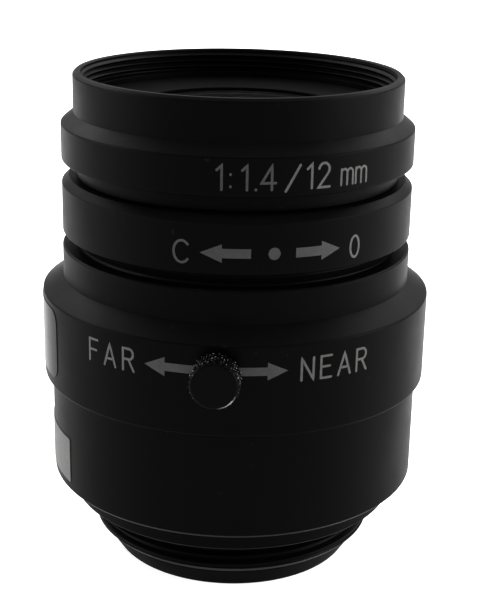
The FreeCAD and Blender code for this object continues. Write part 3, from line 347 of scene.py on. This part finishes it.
focus_wall, focus_neck, focus_bore = 17.12, 15.3, 15.43
focus_lock_azimuth, focus_lock_height = -4.4, 16.7
stop_azimuth, stop_height = 180, 15.2
tapped_radius, tapped_depth = 1.0, 1.6
focus = turned("focus_ring_skin", [
    (16.48, 11.26, 0.0), (16.87, 11.26, 0.05), (focus_wall, 11.51, 0.08), (focus_wall, 19.11, 0.12),
    (focus_neck, 20.3, 0.0), (focus_neck, 22.96, 0.05), (15.18, 23.08, 0.04), (14.03, 23.08, 0.05),
    (14.03, 18.4, 0.0), (focus_bore, 18.4, 0.04), (focus_bore, 13.2, 0.0), (16.48, 13.2, 0.03)],
    steps=360, rows=hole_rows(focus_wall, 13.6, 18.4))
for azimuth, height in ((focus_lock_azimuth, focus_lock_height), (stop_azimuth, stop_height)):
    bored(focus, focus_wall, azimuth, height, tapped_radius, tapped_depth, (5.2, 1.6, 1.6))
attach(dress(focus, black, "focus_ring"), "focus")


# Iris ring. A narrow ring, turned and anodised, that drives the blades through a screw in its wall.
# Two holes: one for the iris lock screw at the back, one for the head of the drive screw.
iris_wall, iris_bore = 15.27, 13.63
iris_lock_azimuth, iris_lock_height = 180, 26.69
drive_azimuth, drive_height, drive_radius = 115, 26.95, 1.11
iris = turned("iris_ring_skin", [
    (iris_bore, 24.27, 0.0), (15.15, 24.27, 0.04), (iris_wall, 24.39, 0.04),
    (iris_wall, 28.51, 0.05), (14.67, 29.11, 0.05), (iris_bore, 29.11, 0.04)],
    steps=360, rows=hole_rows(iris_wall, 24.9, 28.4))
bored(iris, iris_wall, iris_lock_azimuth, iris_lock_height, tapped_radius, tapped_depth, (5.8, 1.55, 1.55))
bored(iris, iris_wall, drive_azimuth, drive_height, drive_radius, 0.8, (6.2, 1.7, 1.5))
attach(dress(iris, black, "iris_ring"), "iris")


# Front ring. Screwed on the lens barrel's nose, with a taper to a narrow front part and the filter
# thread, 0.5 mm to the turn, cut in its mouth. Turned from aluminium and anodised black.
front_wall, hood_wall, filter_radius, filter_pitch, filter_depth = 15.27, 14.19, 13.5, 0.5, 0.24
front = turned("front_ring_skin", [
    (12.95, 29.16, 0.0), (14.0, 29.16, 0.03), (14.0, 30.54, 0.0), (15.15, 30.54, 0.04),
    (front_wall, 30.66, 0.05), (front_wall, 33.66, 0.1), (hood_wall, 34.56, 0.0),
    (hood_wall, 37.72, 0.07), (13.93, 37.98, 0.07), (13.62, 37.98, 0.03),
    (filter_radius, 37.86, 0.03), (filter_radius, 35.88, 0.0), (13.13, 35.88, 0.03),
    (13.13, 34.45, 0.0), (12.95, 34.45, 0.0)],
    steps=300, thread=(filter_radius, 36.0, 37.75, filter_pitch, filter_depth))
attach(dress(front, black, "front_ring"), "barrel")


# Lens barrel and the turned parts inside it, anodised matt black. The part of the barrel seen in
# the gap between the focus ring's neck and the iris ring carries the helicoid thread, cut with
# several starts.
def threaded_black(name, pitch):
    """Matt black metal with a fine thread seen as relief, its pitch in millimetres."""
    material = anodised(name, (0.0012, 0.0012, 0.0013), gloss=0.42)
    place = wire(material, "ShaderNodeTexCoord").outputs["Object"]
    parts = wire(material, "ShaderNodeSeparateXYZ", {0: place})
    angle = reckon(material, "ARCTAN2", parts.outputs[1], parts.outputs[0])
    turns = reckon(material, "MULTIPLY", angle, 1 / (2 * math.pi))
    height = reckon(material, "MULTIPLY_ADD", parts.outputs[2], 1 / (pitch * MM), turns)
    tooth = reckon(material, "PINGPONG", height, 1.0)
    embossed(material, tooth, 0.8, 0.0002)
    return material


helicoid_black = threaded_black("helicoid_black", 0.55)
dress(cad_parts["lens_barrel"], helicoid_black)
for node in ("rear_cell", "cell_retaining_ring", "rear_spacer", "front_spacer", "iris_cam_ring",
             "rear_retaining_ring", "front_retaining_ring"):
    dress(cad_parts[node], inside_black)


# Iris base ring and blades. The ring is turned brass, chemically blackened; the blades are punched
# from thin spring steel with a dull graphite coating, rubbed lighter where they slide.
def coated_metal(name, colour, rubbed, rough, metal):
    """Blackened or coated metal, with lighter streaks where parts have slid over it."""
    material, skin = new_finish(name)
    links = material.node_tree.links
    place, marks = turning_marks(material, 5000, 1200)
    cloud = clouds(material, place, 400, 5)
    streaks = reckon(material, "MULTIPLY", marks, cloud)
    share = graded(material, streaks, 0.45, 0.75, 0.0, 0.6)
    links.new(blended(material, share, colour, rubbed), skin.inputs["Base Color"])
    links.new(graded(material, cloud, 0.3, 0.7, rough - 0.07, rough + 0.1), skin.inputs["Roughness"])
    embossed(material, marks, 0.15, 0.00001)
    skin.inputs["Metallic"].default_value = metal
    return material


dress(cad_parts["iris_base_ring"],
      coated_metal("blackened_brass", (0.018, 0.014, 0.010), (0.10, 0.075, 0.04), 0.42, 0.9))
blade_steel = coated_metal("blade_steel", (0.022, 0.022, 0.024), (0.07, 0.07, 0.075), 0.38, 0.85)
for number in range(1, 7):
    dress(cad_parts[f"iris_blade_{number}"], blade_steel)


# Glasses. Ground and polished crown and flint, with a thin magnesium fluoride coating that takes
# most of the reflection away and leaves a faint violet or green one. The rims are inked black.
def coated_glass(name, bloom, tint):
    """Clear optical glass with a weak coloured reflection, a breath of dust and a black rim."""
    rim_slope = 0.25
    material, skin = new_finish(name)
    links = material.node_tree.links
    skin.inputs["Base Color"].default_value = (*tint, 1)
    skin.inputs["Transmission Weight"].default_value = 1.0
    skin.inputs["IOR"].default_value = 1.52
    skin.inputs["Specular Tint"].default_value = (*bloom, 1)
    place = wire(material, "ShaderNodeTexCoord").outputs["Object"]
    film = clouds(material, place, 900, 6)
    links.new(graded(material, film, 0.5, 0.8, 0.0, 0.03), skin.inputs["Roughness"])
    ink = wire(material, "ShaderNodeBsdfPrincipled", {"Base Color": (0.004, 0.004, 0.004, 1),
                                                      "Roughness": 0.75})
    shape = wire(material, "ShaderNodeNewGeometry")
    upright = wire(material, "ShaderNodeSeparateXYZ", {0: shape.outputs["True Normal"]})
    rim = reckon(material, "LESS_THAN", reckon(material, "ABSOLUTE", upright.outputs[2]), rim_slope)
    dust = wire(material, "ShaderNodeBsdfDiffuse", {"Color": (0.30, 0.30, 0.29, 1)})
    settled = graded(material, film, 0.3, 0.7, 0.010, 0.020)
    face = wire(material, "ShaderNodeMixShader", {0: settled, 1: skin.outputs[0], 2: dust.outputs[0]})
    both = wire(material, "ShaderNodeMixShader", {0: rim, 1: face.outputs[0], 2: ink.outputs[0]})
    links.new(both.outputs[0], material.node_tree.nodes["Material Output"].inputs["Surface"])
    return material


violet_glass = coated_glass("glass_violet_bloom", (0.34, 0.24, 0.45), (0.97, 0.99, 0.98))
green_glass = coated_glass("glass_green_bloom", (0.20, 0.40, 0.31), (0.98, 0.99, 0.97))
for number, node in enumerate(("front_element", "second_element", "third_element", "doublet_front",
                               "doublet_rear", "rear_element")):
    dress(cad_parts[node], (violet_glass, green_glass)[number % 2])


# Small fasteners. The guide dowel is ground steel; the headless stop screw with its hexagon socket
# and the slotted iris drive screw are black oxide steel. Pads of natural nylon under the lock screws
# keep them from marking what they press on.
ground_steel = coated_metal("ground_steel", (0.46, 0.46, 0.47), (0.62, 0.62, 0.63), 0.25, 1.0)
black_steel = coated_metal("black_oxide_steel", (0.010, 0.010, 0.011), (0.035, 0.035, 0.037), 0.36, 0.7)
black_steel.node_tree.nodes["Principled BSDF"].inputs["Specular IOR Level"].default_value = 0.15
dress(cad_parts["guide_pin"], ground_steel)
dress(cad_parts["focus_stop_screw"], black_steel)
dress(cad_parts["iris_drive_pin"], black_steel)
nylon, nylon_skin = new_finish("natural_nylon")
nylon_skin.inputs["Roughness"].default_value = 0.5
nylon_skin.inputs["Subsurface Weight"].default_value = 0.2
nylon_skin.inputs["Subsurface Scale"].default_value = 0.0004
nylon_cloud = clouds(nylon, wire(nylon, "ShaderNodeTexCoord").outputs["Object"], 2500, 4)
nylon_colour = blended(nylon, nylon_cloud, (0.74, 0.72, 0.66), (0.82, 0.81, 0.76))
nylon.node_tree.links.new(nylon_colour, nylon_skin.inputs["Base Color"])
dress(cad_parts["focus_lock_pad"], nylon)
dress(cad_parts["iris_lock_pad"], nylon)


# Lock screws. Knurled thumb screws of black oxide steel. The head is turned with a flat face and
# diamond-knurled between two rolls, which leaves sharp little pyramids that catch the light. Its
# chamfer is rubbed bright all round, and brighter on one side, which is a painted highlight.
def knurled_screw(name, azimuth, height, tip, foot, face):
    """A thumb screw pointing into the lens. tip, foot and face are the distances of its nose, the
    underside of its head and its flat face from the optical axis, in millimetres."""
    nose, shank, neck, head = 0.75, 0.95, 1.3, 2.03
    depth, count = 0.13, 26
    cuts, steps = 20, count * 6
    highlight_side = math.radians(47)
    plain, knurled, chamfered = 0, 1, 2
    rows = [(0.0, tip, plain), (nose, tip, plain), (shank, tip + 0.2, plain),
            (shank, foot - 0.14, plain), (neck, foot - 0.12, plain), (neck, foot + 0.1, plain),
            (head - 0.3, foot + 0.12, plain)]
    low, high = foot + 0.14, face - 0.26
    rows += [(head, low + (high - low) * k / cuts, knurled) for k in range(cuts + 1)]
    rows += [(head - 0.13, face - 0.12, chamfered), (head - 0.22, face - 0.03, chamfered),
             (head - 0.28, face, plain), (head - 0.36, face, plain), (head - 0.9, face, plain),
             (0.0, face, plain)]
    bm = bmesh.new()
    worn = bm.verts.layers.float.new("edge")
    loops = []
    for r, along, kind in rows:
        ring = []
        for k in range(steps):
            turn = 2 * math.pi * k / steps
            radius, edge = r, 0.0
            # The chamfer is worn bare all round; the extra bare metal on one side is a painted highlight.
            if kind == chamfered:
                edge = 0.55 + 0.5 * max(0.0, math.cos(turn + highlight_side)) ** 4
            if kind == knurled:
                across = count * k / steps
                rise = (along - low) / (2 * math.pi * head / count)
                one = abs(((across + rise) % 1) * 2 - 1)
                two = abs(((across - rise) % 1) * 2 - 1)
                edge = min(one, two)
                radius = r - depth * (1 - edge)
            vert = bm.verts.new((radius * math.cos(turn) * MM, radius * math.sin(turn) * MM, along * MM))
            vert[worn] = edge
            ring.append(vert)
        loops.append(ring)
    for lower, upper in zip(loops, loops[1:]):
        for k in range(steps):
            n = (k + 1) % steps
            bm.faces.new((lower[k], lower[n], upper[n], upper[k]))
    bmesh.ops.remove_doubles(bm, verts=bm.verts[:], dist=1e-7)
    bmesh.ops.recalc_face_normals(bm, faces=bm.faces[:])
    for one_face in bm.faces:
        one_face.smooth = True
    piece = piece_of(name, bm, crease=35)
    a = math.radians(azimuth)
    out, side = Vector((math.sin(a), -math.cos(a), 0)), Vector((math.cos(a), math.sin(a), 0))
    turn = Matrix((side, out.cross(side), out)).transposed()
    piece.data.transform(Matrix.Translation((0, 0, height * MM)) @ turn.to_4x4())
    return piece


screw_steel = anodised("knurled_black_steel", (0.0010, 0.0010, 0.0011), gloss=0.36, bare=(0.52, 0.52, 0.53),
                       rubbed=(0.36, 0.52))
focus_lock = knurled_screw("focus_lock_skin", focus_lock_azimuth, focus_lock_height, 16.15, 17.42, 19.62)
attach(dress(focus_lock, screw_steel, "focus_lock_screw"), "focus_screw")
iris_lock = knurled_screw("iris_lock_skin", iris_lock_azimuth, iris_lock_height, 14.35, 15.57, 17.77)
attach(dress(iris_lock, screw_steel, "iris_lock_screw"), "iris_screw")


# Marks. Engraved with a round-ended cutter that leaves strokes of one width, and filled with
# greyish white enamel, which has gone duller on some. They lie on the wall of their own ring.
def arc(x, y, rx, ry, start, end, count=14):
    """Points along part of an ellipse, in degrees."""
    span = [math.radians(start + (end - start) * k / count) for k in range(count + 1)]
    return [(x + rx * math.cos(t), y + ry * math.sin(t)) for t in span]


# Each letter is a width and its strokes, in a box one unit high.
STROKES = {
    "A": (0.62, [[(0, 0), (0.31, 1), (0.62, 0)], [(0.12, 0.33), (0.5, 0.33)]]),
    "C": (0.7, [arc(0.38, 0.5, 0.37, 0.5, 42, 318, 24)]),
    "E": (0.5, [[(0.5, 1), (0, 1), (0, 0), (0.5, 0)], [(0, 0.52), (0.42, 0.52)]]),
    "F": (0.5, [[(0.5, 1), (0, 1), (0, 0)], [(0, 0.52), (0.42, 0.52)]]),
    "N": (0.55, [[(0, 0), (0, 1), (0.55, 0), (0.55, 1)]]),
    "O": (0.56, [arc(0.28, 0.5, 0.26, 0.5, 90, 450, 30)]),
    "R": (0.55, [[(0, 0), (0, 1)] + arc(0.32, 0.76, 0.2, 0.24, 90, -90, 12) + [(0, 0.52)],
                 [(0.28, 0.52), (0.55, 0)]]),
    "1": (0.2, [[(0, 0.8), (0.2, 1), (0.2, 0)]]),
    "2": (0.5, [arc(0.25, 0.74, 0.24, 0.26, 170, -35, 14) + [(0, 0), (0.52, 0)]]),
    "4": (0.58, [[(0.42, 0), (0.42, 1), (0, 0.28), (0.58, 0.28)]]),
    "m": (0.6, [[(0, 0), (0, 0.66)], arc(0.15, 0.5, 0.15, 0.16, 180, 0, 8) + [(0.3, 0)],
                arc(0.45, 0.5, 0.15, 0.16, 180, 0, 8) + [(0.6, 0)]]),
    ".": (0.12, [[(0.06, 0.0), (0.06, 0.02)]]),
    ":": (0.12, [[(0.06, 0.12), (0.06, 0.14)], [(0.06, 0.62), (0.06, 0.64)]]),
    "/": (0.6, [[(0, -0.08), (0.6, 0.98)]]),
}


def stroke(bm, path, width, place):
    """A flat ribbon along a path with round ends. place puts a (across, up) point on the wall."""
    longest, cap_steps = 0.35, 8
    fine = [Vector(path[0])]
    for point in path[1:]:
        start = fine[-1]
        span = Vector(point) - start
        cuts = max(1, math.ceil(span.length / longest))
        fine += [start + span * k / cuts for k in range(1, cuts + 1)]
    left, right = [], []
    half = width / 2
    for i, point in enumerate(fine):
        back = (point - fine[i - 1]).normalized() if i else None
        ahead = (fine[i + 1] - point).normalized() if i + 1 < len(fine) else None
        way = ((back or ahead) + (ahead or back)).normalized()
        normal = Vector((-way.y, way.x))
        flank = (back or ahead)
        lean = max(0.5, abs(normal.dot(Vector((-flank.y, flank.x)))))
        left.append(point + normal * half / lean)
        right.append(point - normal * half / lean)
    for end, beside in ((0, 1), (-1, -2)):
        way = (fine[end] - fine[beside]).normalized()
        normal = Vector((-way.y, way.x))
        cap = [fine[end] + (normal * math.cos(t) + way * math.sin(t)) * half
               for t in [math.pi * k / cap_steps for k in range(cap_steps + 1)]]
        bm.faces.new([bm.verts.new(place(p)) for p in cap])
    a = [bm.verts.new(place(p)) for p in left]
    b = [bm.verts.new(place(p)) for p in right]
    for i in range(len(fine) - 1):
        bm.faces.new((a[i], b[i], b[i + 1], a[i + 1]))


def shape_fill(bm, outline, place, step=0.3):
    """A filled outline, cut into narrow strips so that it follows the wall."""
    left = min(x for x, y in outline)
    right = max(x for x, y in outline)
    cuts = max(2, math.ceil((right - left) / step))
    count = len(outline)
    for k in range(cuts):
        ends = []
        for x in (left + (right - left) * k / cuts, left + (right - left) * (k + 1) / cuts):
            x = min(max(x, left + SAME), right - SAME)
            ys = []
            for i in range(count):
                (x1, y1), (x2, y2) = outline[i], outline[(i + 1) % count]
                if (x1 - x) * (x2 - x) < 0:
                    ys.append(y1 + (y2 - y1) * (x - x1) / (x2 - x1))
            ends.append((x, min(ys), max(ys)))
        (x1, a, b), (x2, c, d) = ends
        bm.faces.new([bm.verts.new(place(Vector(p))) for p in ((x1, a), (x2, c), (x2, d), (x1, b))])


def on_wall(radius, lift=0.012):
    """Puts (arc length, height) in millimetres on a wall of that radius, measured from the front."""
    def place(point):
        a = point.x / radius
        r = (radius + lift) * MM
        return (r * math.sin(a), -r * math.cos(a), point.y * MM)
    return place


def lettering(bm, text, left, base, size, place, spread=0.3, width=0.2):
    """Write text from its left end. size is the height of a capital and width that of a stroke, in
    millimetres; spread is the gap between letters, as a share of size."""
    x = left
    for letter in text:
        wide, strokes = STROKES[letter]
        for path in strokes:
            stroke(bm, [(x + u * size, base + v * size) for u, v in path], width, place)
        x += (wide + spread) * size


def arrow(bm, tip, tail, level, head_long, head_wide, shaft, place):
    """A solid arrow from tail to tip along the wall, with its shaft's middle at the height level."""
    way = 1 if tip > tail else -1
    neck = tip - way * head_long
    shape_fill(bm, [(tail, level - shaft / 2), (neck, level - shaft / 2), (neck, level + shaft / 2),
                    (tail, level + shaft / 2)], place)
    shape_fill(bm, [(tip, level), (neck, level + head_wide / 2), (neck, level - head_wide / 2)], place)


def marks(name, body, material, draw):
    """One piece of enamel marks that rides on a ring."""
    bm = bmesh.new()
    draw(bm)
    bmesh.ops.remove_doubles(bm, verts=bm.verts[:], dist=1e-8)
    for face in bm.faces:
        out = face.calc_center_median()
        face.normal_update()
        if face.normal.dot(Vector((out.x, out.y, 0))) < 0:
            face.normal_flip()
        face.smooth = True
    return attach(dress(piece_of(name, bm), material), body)


def enamel(name, light, dark):
    """Greyish white enamel rubbed into an engraved stroke: uneven, with dark pinholes."""
    pinhole_black = (0.01, 0.01, 0.01)
    material, skin = new_finish(name)
    place = wire(material, "ShaderNodeTexCoord").outputs["Object"]
    patches = clouds(material, place, 1100, 4, 0.6)
    pits = clouds(material, place, 6000, 2)
    coat = blended(material, graded(material, patches, 0.35, 0.65, 0.0, 1.0), dark, light)
    hole = graded(material, pits, 0.63, 0.70, 0.0, 0.7)
    pitted = blended(material, hole, coat, pinhole_black)
    material.node_tree.links.new(pitted, skin.inputs["Base Color"])
    embossed(material, patches, 0.3, 0.00002)
    skin.inputs["Roughness"].default_value = 0.6
    skin.inputs["Specular IOR Level"].default_value = 0.3
    return material


white_enamel = enamel("white_enamel", (0.060, 0.059, 0.057), (0.040, 0.039, 0.038))
grey_enamel = enamel("grey_enamel", (0.022, 0.0216, 0.0212), (0.014, 0.0137, 0.0134))
on_front, on_iris, on_focus = on_wall(front_wall), on_wall(iris_wall), on_wall(focus_wall)


def ratio_marks(bm):
    for text, left in (("1:", -1.55), ("1.", 0.4), ("4", 1.9)):
        lettering(bm, text, left, 31.19, 1.9, on_front)


def length_marks(bm):
    for text, left in (("/", 3.8), ("1", 5.55), ("2", 6.5)):
        lettering(bm, text, left, 31.19, 1.9, on_front)
    lettering(bm, "mm", 8.57, 31.18, 1.9, on_front, spread=0.16, width=0.18)


def iris_open_mark(bm):
    lettering(bm, "O", 9.75, 25.1, 1.75, on_iris)


def iris_marks(bm):
    lettering(bm, "C", -4.95, 25.2, 1.78, on_iris)
    arrow(bm, -2.82, 1.2, 26.12, 1.75, 1.5, 0.76, on_iris)
    shape_fill(bm, arc(3.05, 26.09, 0.5, 0.5, 4, 356, 28), on_iris, 0.12)
    arrow(bm, 8.7, 4.8, 26.08, 1.7, 1.55, 0.78, on_iris)


def focus_marks(bm):
    lettering(bm, "FAR", -12.95, 16.12, 1.85, on_focus, spread=0.42)
    lettering(bm, "NEAR", 5.48, 16.06, 1.85, on_focus, spread=0.36)


def focus_arrows(bm):
    arrow(bm, -7.3, -1.6, 17.03, 1.75, 1.62, 0.7, on_focus)
    arrow(bm, 4.35, -0.9, 17.03, 1.65, 1.5, 0.7, on_focus)


marks("front_ring_ratio", "barrel", grey_enamel, ratio_marks)
marks("front_ring_length", "barrel", white_enamel, length_marks)
marks("iris_ring_open_mark", "iris", white_enamel, iris_open_mark)
marks("iris_ring_marks", "iris", grey_enamel, iris_marks)
marks("focus_ring_letters", "focus", white_enamel, focus_marks)
marks("focus_ring_arrows", "focus", grey_enamel, focus_arrows)


# Blank label and protective film, both stuck on the left side and running round to the back. The
# label is matt grey paper film on the barrel, and the film is thin dark polyester on the focus ring.
def wrapped_patch(name, wall, left, right, low, high, corner, thick, body, material):
    """A thin sheet with round corners, wrapped on a wall between two azimuths."""
    a, b = math.radians(left) * wall, math.radians(right) * wall
    cuts, corner_cuts, glue = 96, 8, 0.004
    near = [a + corner * (1 - math.cos(math.pi / 2 * k / corner_cuts)) for k in range(corner_cuts)]
    xs = near + [a + corner + (b - a - 2 * corner) * k / cuts for k in range(cuts + 1)]
    xs += [a + b - x for x in reversed(near)]
    bm = bmesh.new()
    columns = []
    for x in xs:
        away = max(0.0, corner - min(x - a, b - x))
        drop = corner - math.sqrt(max(0.0, corner ** 2 - away ** 2))
        t = x / wall
        column = []
        for y in (low + drop, high - drop):
            for r in (wall + glue, wall + thick):
                column.append(bm.verts.new((r * math.sin(t) * MM, -r * math.cos(t) * MM, y * MM)))
        columns.append(column)
    for p, q in zip(columns, columns[1:]):
        for i, j in ((1, 3), (3, 2), (0, 1), (2, 0)):
            bm.faces.new((p[i], q[i], q[j], p[j]))
    for end in (columns[0], columns[-1]):
        bm.faces.new((end[0], end[1], end[3], end[2]))
    bmesh.ops.remove_doubles(bm, verts=bm.verts[:], dist=1e-8)
    bmesh.ops.recalc_face_normals(bm, faces=bm.faces[:])
    for face in bm.faces:
        face.smooth = True
    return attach(dress(piece_of(name, bm, crease=40), material), body)


label_paper = enamel("label_film", (0.078, 0.078, 0.076), (0.064, 0.064, 0.062))
film = anodised("protective_film", (0.0022, 0.0022, 0.0025), gloss=0.20, grain=0.15)
wrapped_patch("barrel_label", barrel_wall, -150, -59, 3.0, 7.08, 0.15, 0.06, "mount", label_paper)
wrapped_patch("focus_ring_film", focus_wall, -158, -61.5, 12.4, 18.6, 1.2, 0.05, "focus", film)


# Camera. Its place, tilt and focal length were fitted to the lens's outlines in the photograph, so
# that the walls, steps and marks fall on their places in it.
pitch, yaw, roll = math.radians(18.585), math.radians(0.545), math.radians(1.2125)
focal_pixels, frame_height, sensor = 1332.11, 611, 36
ahead = Vector((math.sin(yaw) * math.cos(pitch), math.cos(yaw) * math.cos(pitch), -math.sin(pitch)))
level = Vector((math.cos(yaw), -math.sin(yaw), 0))
above = level.cross(ahead)
right = math.cos(roll) * level + math.sin(roll) * above
up = -math.sin(roll) * level + math.cos(roll) * above
view = bpy.data.cameras.new("camera")
view.sensor_width = sensor
view.sensor_fit = "AUTO"
view.lens = focal_pixels / frame_height * sensor
view.clip_start = 0.01
view.clip_end = 50
camera = bpy.data.objects.new("camera", view)
stand = Matrix.Translation((0.000258, -0.114380, 0.055248))
camera.matrix_world = stand @ Matrix((right, up, -ahead)).transposed().to_4x4()
bpy.context.scene.collection.objects.link(camera)
bpy.context.scene.camera = camera


# Studio. A round white table and a white surround, lit by soft boxes: one on the right, a weaker
# one on the left, one above, and two high behind that light the shoulders of the rings.
def seen_or_mirrored(owner):
    """1 for rays from the camera, and for those that metal mirrors or glass lets through."""
    path = wire(owner, "ShaderNodeLightPath").outputs
    mirrored = reckon(owner, "MAXIMUM", path["Is Camera Ray"], path["Is Glossy Ray"])
    return reckon(owner, "MAXIMUM", mirrored, path["Is Transmission Ray"])


world = bpy.data.worlds.new("studio")
bpy.context.scene.world = world
world.use_nodes = True
dim = world.node_tree.nodes["Background"]
dim.inputs[0].default_value = (1, 1, 1, 1)
dim.inputs[1].default_value = 0.18
white = wire(world, "ShaderNodeBackground", {0: (1, 1, 1, 1), 1: 1.0})
surround = wire(world, "ShaderNodeMixShader", {0: seen_or_mirrored(world), 1: dim.outputs[0],
                                               2: white.outputs[0]})
world.node_tree.links.new(surround.outputs[0], world.node_tree.nodes["World Output"].inputs[0])

table_radius, under_lens = 1.6, 0.00001
disc = bmesh.new()
bmesh.ops.create_circle(disc, cap_ends=True, segments=64, radius=table_radius,
                        matrix=Matrix.Translation((0, 0, cad_box[0][2] - under_lens)))
table = piece_of("table", disc)
table_white, paint = new_finish("table_white")
paint.inputs["Base Color"].default_value = (0.86, 0.86, 0.86, 1)
paint.inputs["Roughness"].default_value = 0.9
paint.inputs["Specular IOR Level"].default_value = 0.0
glow = wire(table_white, "ShaderNodeEmission", {1: 0.78})
dark = wire(table_white, "ShaderNodeEmission", {1: 0.0})
pick = wire(table_white, "ShaderNodeMixShader", {0: seen_or_mirrored(table_white), 1: dark.outputs[0],
                                                 2: glow.outputs[0]})
total = wire(table_white, "ShaderNodeAddShader", {0: paint.outputs[0], 1: pick.outputs[0]})
table_out = table_white.node_tree.nodes["Material Output"]
table_white.node_tree.links.new(total.outputs[0], table_out.inputs["Surface"])
table.data.materials.append(table_white)

lens_middle = Vector((0, 0, 0.016))
for name, place, size, power in (
        ("soft_box_right", (0.60, -0.10, 0.13), 0.40, 5.9),
        ("soft_box_left", (-0.60, -0.06, 0.12), 0.40, 3.5),
        ("soft_box_above", (0.0, 0.05, 0.65), 0.60, 2.0),
        ("soft_box_back_right", (0.31, 0.33, 0.42), 0.40, 3.3),
        ("soft_box_back_left", (-0.31, 0.33, 0.42), 0.40, 3.0)):
    light = bpy.data.lights.new(name, "AREA")
    light.size = size
    light.energy = power
    lamp = bpy.data.objects.new(name, light)
    lamp.location = place
    lamp.rotation_euler = (lens_middle - Vector(place)).to_track_quat("-Z", "Y").to_euler()
    bpy.context.scene.collection.objects.link(lamp)

bpy.context.scene.view_settings.view_transform = "Standard"
